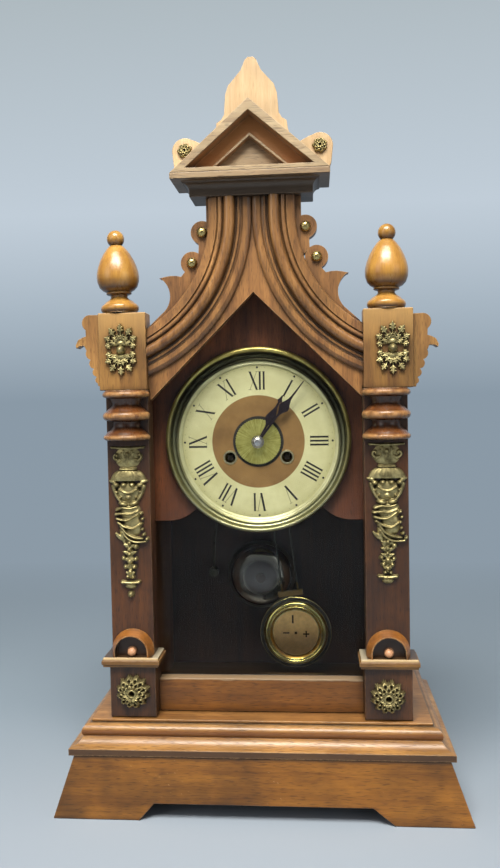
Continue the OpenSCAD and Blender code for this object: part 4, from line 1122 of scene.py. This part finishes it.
@dataclass
class Dial:
    """The painted dial with its numerals, its bezel, its eyelets and the alarm's setting disc.

    The pairs are radii between which one finish gives way to the next.
    """

    z: float = 291.3
    face_y: float = -23.0
    numeral_low: float = 42.6
    numeral_high: float = 57.6
    stroke: float = 1.5
    hair: float = 0.3
    pitch: float = 3.2
    wide: float = 2.35
    margin: float = 0.9
    serif: float = 0.25
    overhang: float = 0.9
    dot_r: float = 61.0
    hour_dot: float = 0.95
    minute_dot: float = 0.26
    ink: float = 0.06
    root: float = 0.02
    bezel_steps: int = 180
    bezel_behind: float = 1.0
    bezel_rise: float = 1.7
    rise_from: float = 66.0
    rise_full: float = 75.0
    middle_edge: Point = (38.0, 38.3)
    stain: Point = (56, 64)
    sight_edge: Point = (65.4, 66.2)
    rim_edge: Point = (73.0, 74.6)
    strokes: list[list[Point]] = field(default_factory=list)

    def quad(self, a: Point, b: Point, width: float) -> None:
        """Adds a stroke of a letter.

        Args:
            a: The middle of its foot.
            b: The middle of its head.
            width: Its width.
        """
        half = width / 2
        self.strokes.append([(a[0] - half, a[1]), (a[0] + half, a[1]),
                             (b[0] + half, b[1]), (b[0] - half, b[1])])

    def letter(self, kind: str, x: float) -> float:
        """Adds one letter of a numeral.

        Args:
            kind: I, V or X.
            x: The letter's left side.

        Returns:
            Where the next letter starts.
        """
        low, high, serif = self.numeral_low, self.numeral_high, self.serif
        serif_wide = self.stroke + self.overhang
        if kind == "I":
            mid = x + self.pitch / 2
            self.quad((mid, low), (mid, high), self.stroke)
            for end in (low, high - serif):
                self.quad((mid, end), (mid, end + serif), serif_wide)
            return x + self.pitch
        wide = self.wide * self.pitch
        left, right = x + self.margin, x + wide - self.margin
        mid = (left + right) / 2
        foot_left, foot_right = (mid, mid) if kind == "V" else (right, left)
        self.quad((foot_left, low), (left, high), self.stroke * 1.15)
        self.quad((foot_right, low), (right, high), self.hair)
        for end in (left, right):
            self.quad((end, high - serif), (end, high), serif_wide)
            if kind == "X":
                self.quad((end, low), (end, low + serif), serif_wide)
        return x + wide

    def numerals(self) -> bpy.types.Object:
        """Makes the twelve numerals, which read from the middle of the dial.

        Returns:
            The piece.
        """
        names = ("XII", "I", "II", "III", "IIII", "V", "VI", "VII", "VIII", "IX", "X", "XI")
        vertices, faces = [], []
        for hour, name in enumerate(names):
            self.strokes = []
            x = 0.0
            for kind in name:
                x = self.letter(kind, x)
            turn = math.radians(30 * hour)
            for outline in self.strokes:
                places = [self.around(p[0] - x / 2, p[1], turn) for p in outline]
                prism(vertices, faces, places, self.face_y - self.ink, self.face_y + self.root)
        return solid("dial_numerals", vertices, faces, smooth=False)

    def around(self, u: float, v: float, turn: float) -> Point:
        """Turns a point of a letter clockwise about the dial's middle."""
        return (u * math.cos(turn) + v * math.sin(turn), self.z - u * math.sin(turn) + v * math.cos(turn))

    def minute_marks(self) -> bpy.types.Object:
        """Makes the marks of the hours and of the minutes.

        Returns:
            The piece.
        """
        vertices, faces = [], []
        for minute in range(60):
            turn = math.radians(6 * minute)
            size = self.minute_dot if minute % 5 else self.hour_dot
            outline = [self.around(size * math.cos(a), self.dot_r + size * math.sin(a), turn)
                       for a in np.linspace(0, 2 * math.pi, 8, endpoint=False)]
            prism(vertices, faces, outline, self.face_y - self.ink, self.face_y + self.root)
        return solid("dial_minute_marks", vertices, faces, smooth=False)

    def enamel(self) -> bpy.types.Material:
        """Builds the dial's paint: ivory, with a tan middle and a soft stain towards its rim.

        Returns:
            The material.
        """
        g = Graph("dial_enamel")
        far = g.ring(0, self.z)
        cloud = g.noise(g.place(), 45, 4, 0.6)
        speck = g.noise(g.place(), 900, 2, 0.5)
        ivory = g.mix(g.spread(cloud, 0.3, 0.7), srgb(226, 222, 172), srgb(206, 200, 148))
        ivory = g.mix(g.spread(far, *self.stain, 0.0, 0.75), ivory, srgb(178, 172, 118))
        tan = g.mix(g.spread(cloud, 0.3, 0.7), srgb(156, 120, 72), srgb(126, 94, 54))
        colour = g.mix(g.spread(far, *self.middle_edge), tan, ivory)
        colour = g.mix(g.spread(speck, 0.68, 0.74, 0.0, 0.35), colour, srgb(120, 98, 60))
        return g.finish(Base_Color=colour, Roughness=g.spread(cloud, 0.3, 0.7, 0.36, 0.48),
                        Normal=g.bump(speck, 0.02), Coat_Weight=0.15)

    def disc_brass(self) -> bpy.types.Material:
        """Builds the setting disc's brass, brushed in rays from the middle.

        Returns:
            The material.
        """
        g = Graph("alarm_brass")
        centred = g.add("VectorMath", {0: g.place(), 1: (0, 0, self.z * MM)}, operation="SUBTRACT").outputs[0]
        level = g.add("VectorMath", {0: g.scaled(centred, 1, 0, 1)}, operation="NORMALIZE").outputs[0]
        rays = g.noise(level, 26, 3, 0.7)
        spots = g.noise(g.place(), 260, 3, 0.6)
        tone = g.calc("ADD", g.times(rays, 0.7), g.times(spots, 0.3))
        colour = g.mix(g.spread(tone, 0.38, 0.62), srgb(168, 156, 74), srgb(226, 220, 132))
        return g.finish(Base_Color=colour, Metallic=0.85, Roughness=g.spread(rays, 0.3, 0.7, 0.34, 0.5),
                        Normal=g.bump(rays, 0.05))

    def bezel(self) -> bpy.types.Object:
        """Makes the bezel: a rounded rim, a deep hollow, a bead and a flat inner ring.

        Returns:
            The piece.
        """
        rim = [(75.2, 0.0), (76, 1.6), (76, 6.4), (75.4, 8.0), (74.0, 9.0), (72.6, 8.6), (71.9, 7.2)]
        hollow = [(71.4, 5.2), (70.6, 3.9), (69.4, 3.2), (68.4, 3.1)]
        bead = [(67.9, 3.9), (67.2, 4.3), (66.4, 3.9), (66.0, 3.0)]
        sight = [(65.4, 2.6), (64.6, 2.2), (64.2, 2.35), (63.6, 1.9), (62.9, 1.5), (62.7, 1.1)]
        outline = [tuple(p) for line in (rim, hollow) for p in smooth_line(line, 3)]
        outline += [tuple(p) for p in smooth_line(bead, 3)] + sight + [(68.2, 1.05), (70.3, 0.0)]
        piece = turned("bezel_ring", outline, (0, self.face_y + self.bezel_behind, self.z), self.bezel_steps)
        for vertex in piece.data.vertices:
            far = math.hypot(vertex.co.x, vertex.co.z - self.z * MM) / MM
            share = (far - self.rise_from) / (self.rise_full - self.rise_from)
            vertex.co.z += self.bezel_rise * MM * min(max(share, 0.0), 1.0)
        return piece

    def bezel_brass(self) -> bpy.types.Material:
        """Builds the bezel's brass: a rim with a painted highlight along its top, a hollow with painted
        reflections, dark at its top and pale towards its bottom, and a pale inner ring.

        Returns:
            The material.
        """
        g = Graph("bezel_brass")
        far = g.ring(0, self.z)
        cloud = g.noise(g.place(), 60, 2, 0.5)
        # Painted highlight and reflection: this share grows towards the bottom, paints the hollow and the rim
        # pale there and widens the rim, while at the top the hollow stays dark and the rim bright
        low = g.spread(g.height(), self.z + 30, self.z - 50)
        dark = g.mix(g.spread(cloud, 0.35, 0.65), srgb(46, 44, 30), srgb(72, 68, 46))
        pale = g.mix(g.spread(cloud, 0.35, 0.65), srgb(214, 210, 164), srgb(186, 182, 134))
        bright = g.mix(g.spread(cloud, 0.4, 0.66), srgb(222, 204, 122), srgb(170, 150, 82))
        body = g.mix(low, dark, g.mix(0.75, dark, pale))
        colour = g.mix(g.spread(far, *reversed(self.sight_edge)), body, pale)
        rim = g.spread(g.calc("ADD", far, g.times(low, 2.0)), *self.rim_edge)
        colour = g.mix(rim, colour, g.mix(low, bright, body))
        metal = g.spread(far, *self.sight_edge, 0.35, 0.9)
        return g.finish(Base_Color=colour, Metallic=metal, Roughness=g.spread(cloud, 0.3, 0.7, 0.3, 0.38))

    def ink_paint(self) -> bpy.types.Material:
        """Builds the black paint of the numerals.

        Returns:
            The material.
        """
        g = Graph("dial_ink")
        thin = g.noise(g.place(), 700, 3, 0.6)
        colour = g.mix(g.spread(thin, 0.35, 0.75), srgb(20, 20, 24), srgb(62, 58, 52))
        return g.finish(Base_Color=colour, Roughness=0.5)

    def build(self) -> None:
        """Dresses the dial and paints its marks."""
        ink = self.ink_paint()
        dress("dial_plate", self.enamel())
        carried(self.numerals(), "case", "dial_enamel", ink)
        carried(self.minute_marks(), "case", "dial_enamel", ink)
        at = (0.0, self.face_y, self.z)
        for name, r_in, r_out in (("dial_minute_ring", 62.8, 63.0), ("dial_black_ring", 18.4, 20.9)):
            band = [(r_in, -self.root), (r_in, self.ink), (r_out, self.ink), (r_out, -self.root)]
            carried(turned(name, band, at), "case", "dial_enamel", ink)
        carried(self.bezel(), "case", "bezel_brass", self.bezel_brass(), "dial_bezel")
        dress("winding_eyelets", EYELET_BRASS.material())
        dress("alarm_disc", self.disc_brass())


@dataclass
class Hands:
    """The hour hand and the minute hand, and the round nut that holds them."""

    middle: tuple[float, float, float] = (0.0, -29.4, 291.3)
    edge: float = 0.18
    nut_steps: int = 64

    def build(self) -> None:
        """Dresses the hands and makes the nut."""
        black = BLACK.material()
        for node in ("minute_hand", "hour_hand"):
            soften(dress(node, black), self.edge)
        dome = [(0.02, -0.1), (4.9, -0.1), (5.2, 0.2), (5.2, 0.7), (4.9, 1.0)]
        dome += [(4.4 * math.cos(a) + 0.02, 1.0 + 2.6 * math.sin(a)) for a in np.linspace(0, math.pi / 2, 10)]
        nut = turned("hand_nut", dome, self.middle, self.nut_steps)
        carried(nut, "minute_hand", "arbor_steel", NUT_STEEL.material())


@dataclass
class Works:
    """The movement, the bell and the pendulum, and the hinges and the hook of the case.

    The pairs are radii between which one finish gives way to the next.
    """

    bell: tuple[float, float, float] = (-5.2, 62.0, 162.4)
    bell_middle: Point = (23.0, 14.0)
    bell_flange: Point = (28.2, 29.2)
    bob: tuple[float, float, float] = (26.917, 28.5, 117.197)
    bob_flange: tuple[Point, Point] = ((28.3, 28.8), (31.4, 31.7))
    bob_edge: Point = (32.5, 33.0)
    bar_edge: Point = (46, 45)
    marks_front: float = 2.56
    marks_back: float = 2.48

    def bell_piece(self) -> bpy.types.Object:
        """Makes the bell: a shallow dome with a flange behind it.

        Returns:
            The piece.
        """
        front = [(2.45, 15.0), (6, 14.98), (11, 14.7), (15, 14.2), (18.5, 13.4), (21.5, 12.4), (24.2, 10.9),
                 (26.4, 8.9), (27.8, 6.4), (28.7, 4.0), (29.8, 2.2), (31.1, 1.0), (31.8, 0.5)]
        back = [(31.4, 0), (29.2, 1.0), (27.6, 3.2), (26.4, 6.0), (24.8, 8.2), (22.8, 9.9), (20.2, 11.2),
                (17.4, 12.2), (14, 13.0), (8, 13.5), (2.45, 13.6)]
        lines = [tuple(p) for line in (front, back) for p in smooth_line(line, 4)]
        return turned("bell_dish", lines, self.bell)

    def bell_nickel(self) -> bpy.types.Material:
        """Builds the bell's finish: bright on the shoulder, painted dark in the middle as a painted
        reflection of the dark case, and grey and rougher on the flange.

        Returns:
            The material.
        """
        g = Graph("bell_nickel")
        far = g.ring(self.bell[0], self.bell[2])
        # Painted reflection: the middle of the dish is painted dark, as the dark inside of the case would
        # show in it
        middle = g.spread(far, *self.bell_middle, 0.0, 0.9)
        flange = g.spread(far, *self.bell_flange)
        colour = g.mix(middle, srgb(214, 210, 194), srgb(58, 52, 56))
        colour = g.mix(g.times(flange, 0.7), colour, srgb(104, 104, 88))
        cloud = g.noise(g.place(), 120, 3, 0.6)
        colour = g.mix(g.spread(cloud, 0.45, 0.75, 0.0, 0.35), colour, srgb(70, 66, 58))
        rough = g.calc("ADD", 0.14, g.times(g.calc("MAXIMUM", middle, flange), 0.2))
        return g.finish(Base_Color=colour, Metallic=1.0, Roughness=rough)

    def bob_piece(self) -> bpy.types.Object:
        """Makes the bob: a dark flange, a rounded ring, a thin bead and the seat of the disc.

        Returns:
            The piece.
        """
        ring = smooth_line([(28.9, 1.7), (28.3, 2.8), (27.2, 3.9), (25.9, 4.4), (24.8, 4.0), (24.4, 3.5)], 4)
        bead = smooth_line([(24.2, 3.8), (23.6, 4.3), (22.9, 4.1), (22.5, 3.4)], 3)
        outline = [(1.6, -3), (26, -3), (31.5, -1), (31.9, 0), (31.9, 0.6), (31.4, 1.0), (29.4, 1.4)]
        outline += [tuple(p) for p in ring] + [tuple(p) for p in bead]
        outline += [(21.4, 1.8), (20.8, 1.2), (1.6, 1.2)]
        return turned("bob_rings", outline, self.bob)

    def bob_brass(self) -> bpy.types.Material:
        """Builds the bob's finish: polished rings on a blackened flange with a thin worn edge.

        Returns:
            The material.
        """
        g = Graph("pendulum_brass")
        far = g.ring(self.bob[0], self.bob[2])
        cloud = g.noise(g.place(), 160, 4, 0.65)
        inner, outer = (g.spread(far, *edge) for edge in self.bob_flange)
        black = g.calc("SUBTRACT", inner, outer, clamp=True)
        rods = g.spread(far, *self.bob_edge)
        bar = g.times(rods, g.spread(far, *self.bar_edge))
        dull = g.times(g.spread(cloud, 0.35, 0.7), 0.4)
        colour = g.mix(dull, srgb(222, 206, 128), srgb(112, 96, 50))
        colour = g.mix(black, colour, srgb(34, 30, 20))
        colour = g.mix(rods, colour, srgb(84, 84, 76))
        colour = g.mix(bar, colour, srgb(120, 96, 56))
        rough = g.calc("ADD", 0.2, g.times(g.calc("MAXIMUM", black, rods), 0.25))
        return g.finish(Base_Color=colour, Metallic=g.calc("SUBTRACT", 1.0, g.times(black, 0.6)),
                        Roughness=rough)

    def hammer_steel(self) -> bpy.types.Material:
        """Builds the hammer's dull grey-brown film.

        Returns:
            The material.
        """
        g = Graph("hammer_steel")
        cloud = g.noise(g.place(), 300, 4, 0.6)
        colour = g.mix(g.spread(cloud, 0.35, 0.65), srgb(84, 80, 64), srgb(54, 50, 40))
        return g.finish(Base_Color=colour, Metallic=0.2, Roughness=0.5)

    def disc_marks(self) -> bpy.types.Object:
        """Makes the marks of the regulating disc: a pointer, a minus and a plus.

        Returns:
            The piece.
        """
        x, y, z = self.bob
        bars = [((-2.6, 12.4), 1.5, 7.4), ((-8.6, 0), 5.6, 1.3), ((9.2, -1), 5.6, 1.3), ((9.2, -1), 1.3, 5.6),
                ((0, 0), 2.2, 2.2)]
        vertices, faces = [], []
        for (u, v), wide, high in bars:
            box = [(x + u + a * wide / 2, z + v + b * high / 2)
                   for a, b in ((-1, -1), (1, -1), (1, 1), (-1, 1))]
            prism(vertices, faces, box, y - self.marks_front, y - self.marks_back)
        return solid("regulator_marks", vertices, faces, smooth=False)

    def build(self) -> None:
        """Dresses every metal piece behind the dial and on the case."""
        groups = (
            (FINE_BRASS, ("front_plate", "back_plate", "plate_pillars", "suspension_cock", "cannon_pinion",
                          "hour_wheel", "minute_wheel", "third_wheel", "escape_wheel", "going_barrel",
                          "alarm_barrel")),
            (STEEL, ("centre_wheel", "pallets", "hook_screw")),
            (SHADED_WINDING_STEEL, ("time_winding_arbor", "alarm_winding_arbor")),
            (HINGE_BRASS, ("hinge_case_leaves", "hinge_door_leaves", "latch_hook", "catch_pin")),
            (NICKEL, ("bell_stand",)),
            (COPPER, ("regulator_disc",)),
        )
        for finish, nodes in groups:
            material = finish.material()
            for node in nodes:
                dress(node, material)
        dress("alarm_hammer", self.hammer_steel())
        carried(self.bell_piece(), "case", "bell_nickel", self.bell_nickel(), "bell")
        bob = self.bob_brass()
        dress("pendulum_rod", bob)
        carried(self.bob_piece(), "pendulum", "pendulum_brass", bob, "pendulum_bob")
        carried(self.disc_marks(), "regulator_disc", "regulator_copper", DISC_INK.material())


@dataclass
class Glass:
    """The pane of the door."""

    tint: Colour = (0.97, 0.98, 0.98)
    polish: float = 0.04
    index: float = 1.45
    mirrored: float = 0.2

    def build(self) -> None:
        """Dresses the pane: clear, with a faint mirror that grows towards the edge of view."""
        g = Graph("door_glass")
        clear = g.add("BsdfTransparent", {"Color": self.tint}).outputs[0]
        mirror = g.add("BsdfGlossy", {"Color": (1.0, 1.0, 1.0), "Roughness": self.polish}).outputs[0]
        share = g.times(g.add("Fresnel", {"IOR": self.index}).outputs[0], self.mirrored)
        mixed = g.add("MixShader", {0: share, 1: clear, 2: mirror}).outputs[0]
        g.tree.links.new(mixed, g.output.inputs["Surface"])
        dress("door_glass", g.material)


@dataclass(frozen=True)
class Lamp:
    """A soft rectangular light: its place in millimetres, its size in metres and its power in watts."""

    name: str
    place: tuple[float, float, float]
    wide: float
    high: float
    power: float
    colour: Colour

    def build(self, aim: tuple[float, float, float]) -> None:
        """Makes the light.

        Args:
            aim: What it points at, in millimetres.
        """
        data = bpy.data.lights.new(self.name, "AREA")
        data.shape = "RECTANGLE"
        data.size = self.wide
        data.size_y = self.high
        data.energy = self.power
        data.color = self.colour
        lamp = bpy.data.objects.new(self.name, data)
        bpy.context.scene.collection.objects.link(lamp)
        lamp.location = Vector(self.place) * MM
        lamp.rotation_mode = "QUATERNION"
        lamp.rotation_quaternion = (Vector(aim) - Vector(self.place)).to_track_quat("-Z", "Y")


@dataclass
class Studio:
    """The floor, the sweep behind it, the lights and the camera."""

    eye: tuple[float, float, float] = (46.7, -674.3, 326.6)
    yaw: float = 4.69
    pitch: float = -2.54
    roll: float = -1.09
    focal_px: float = 793.9
    picture_high: int = 868
    sensor: float = 36.0
    aim: tuple[float, float, float] = (0, 0, 300)
    lamps: tuple[Lamp, ...] = (
        Lamp("key_light", (-60, -960, 1760), 1.2, 0.7, 56, (1.0, 0.97, 0.90)),
        Lamp("side_light", (-1400, -1300, 900), 0.9, 1.2, 6, (1.0, 0.98, 0.95)),
        Lamp("fill_light", (1500, -1400, 700), 1.2, 1.2, 4, (0.96, 0.98, 1.0)))
    room_colour: Colour = (0.88, 0.93, 1.0)
    room_strength: float = 0.15
    floor_front: float = -4500
    floor_back: float = 1700
    bow: float = 1300
    wall_high: float = 4200
    half_wide: float = 5200
    bounce: Colour = srgb(150, 152, 152)
    glow_from: float = 0.25
    glow_full: float = 0.9
    # Painted light and shade along the sweep: the run along floor and wall, in metres, and the colour there
    shades: tuple[tuple[float, tuple[int, int, int]], ...] = (
        (-0.6, (162, 172, 184)), (-0.1, (162, 172, 184)), (0.15, (146, 160, 173)), (0.6, (140, 154, 166)),
        (2.9, (138, 153, 166)), (3.6, (168, 182, 194)), (4.2, (193, 205, 216)), (5.2, (175, 186, 192)),
        (6.5, (168, 178, 184)))

    def camera(self) -> None:
        """Sets the camera where the photograph was taken."""
        data = bpy.data.cameras.new("camera")
        data.sensor_width = self.sensor
        data.lens = self.focal_px * self.sensor / self.picture_high
        data.clip_start = 0.01
        camera = bpy.data.objects.new("camera", data)
        bpy.context.scene.collection.objects.link(camera)
        yaw, pitch, roll = (math.radians(a) for a in (self.yaw, self.pitch, self.roll))
        ahead = Vector((-math.sin(yaw) * math.cos(pitch), math.cos(yaw) * math.cos(pitch), math.sin(pitch)))
        right = Vector((math.cos(yaw), math.sin(yaw), 0))
        up = right.cross(ahead)
        leaned_right = right * math.cos(roll) + up * math.sin(roll)
        leaned_up = -right * math.sin(roll) + up * math.cos(roll)
        turn = Matrix((leaned_right, leaned_up, -ahead)).transposed()
        camera.matrix_world = Matrix.Translation(Vector(self.eye) * MM) @ turn.to_4x4()
        bpy.context.scene.camera = camera

    def sweep(self) -> None:
        """Makes the floor, which curves up into a wall far behind the clock."""
        start, bow = self.floor_back, self.bow
        profile = [(self.floor_front, 0.0), (start, 0.0)]
        profile += [(start + bow * math.sin(a), bow * (1 - math.cos(a)))
                    for a in np.linspace(0, math.pi / 2, 24)[1:]]
        profile.append((start + bow, self.wall_high))
        vertices = [(x, y, z) for x in (-self.half_wide, self.half_wide) for y, z in profile]
        count = len(profile)
        faces = [[i, count + i, count + i + 1, i + 1] for i in range(count - 1)]
        floor = solid("floor_sweep", vertices, faces)
        floor.data.materials.append(self.paper())

    def paper(self) -> bpy.types.Material:
        """Builds the sweep's paper: pale, with painted light and shade in bands along it that make it greyer
        behind the clock, and lit by itself where it is far off.

        Returns:
            The material.
        """
        g = Graph("floor_paper")
        parts = g.add("SeparateXYZ", {0: g.place()}).outputs
        run = g.calc("ADD", parts["Y"], parts["Z"])
        near, far = self.shades[0][0], self.shades[-1][0]
        ramp = g.add("ValToRGB", {0: g.spread(run, near, far)})
        stops = ramp.color_ramp.elements
        for i, (at, shade) in enumerate(self.shades):
            stop = stops[0] if i == 0 else stops.new((at - near) / (far - near))
            stop.color = (*srgb(*shade), 1.0)
        stops.remove(stops[-1])
        shade = ramp.outputs[0]
        seen = g.add("LightPath").outputs
        rays = g.calc("ADD", seen["Is Camera Ray"], seen["Is Glossy Ray"], clamp=True)
        rays = g.calc("ADD", rays, seen["Is Transmission Ray"], clamp=True)
        matt = g.add("BsdfDiffuse", {"Color": g.mix(rays, self.bounce, shade)}).outputs[0]
        glow = g.add("Emission", {"Color": shade}).outputs[0]
        share = g.times(g.spread(run, self.glow_from, self.glow_full), rays)
        mixed = g.add("MixShader", {0: share, 1: matt, 2: glow}).outputs[0]
        g.tree.links.new(mixed, g.output.inputs["Surface"])
        return g.material

    def world(self) -> None:
        """Sets the even light that comes from all round."""
        world = bpy.data.worlds.new("room")
        world.use_nodes = True
        sky = world.node_tree.nodes["Background"]
        sky.inputs["Color"].default_value = (*self.room_colour, 1.0)
        sky.inputs["Strength"].default_value = self.room_strength
        bpy.context.scene.world = world

    def build(self) -> None:
        """Sets up the whole studio."""
        self.camera()
        self.sweep()
        self.world()
        for lamp in self.lamps:
            lamp.build(self.aim)
        bpy.context.scene.view_settings.view_transform = "Standard"


def main() -> None:
    """Builds the studio and every part of the clock."""
    logging.basicConfig(level=logging.INFO, format="%(message)s")
    for part in (Studio(), Timber(), Ornaments(), Dial(), Hands(), Works(), Glass()):
        part.build()
        LOG.info("finished %s", type(part).__name__)


if __name__ == "__main__":
    main()
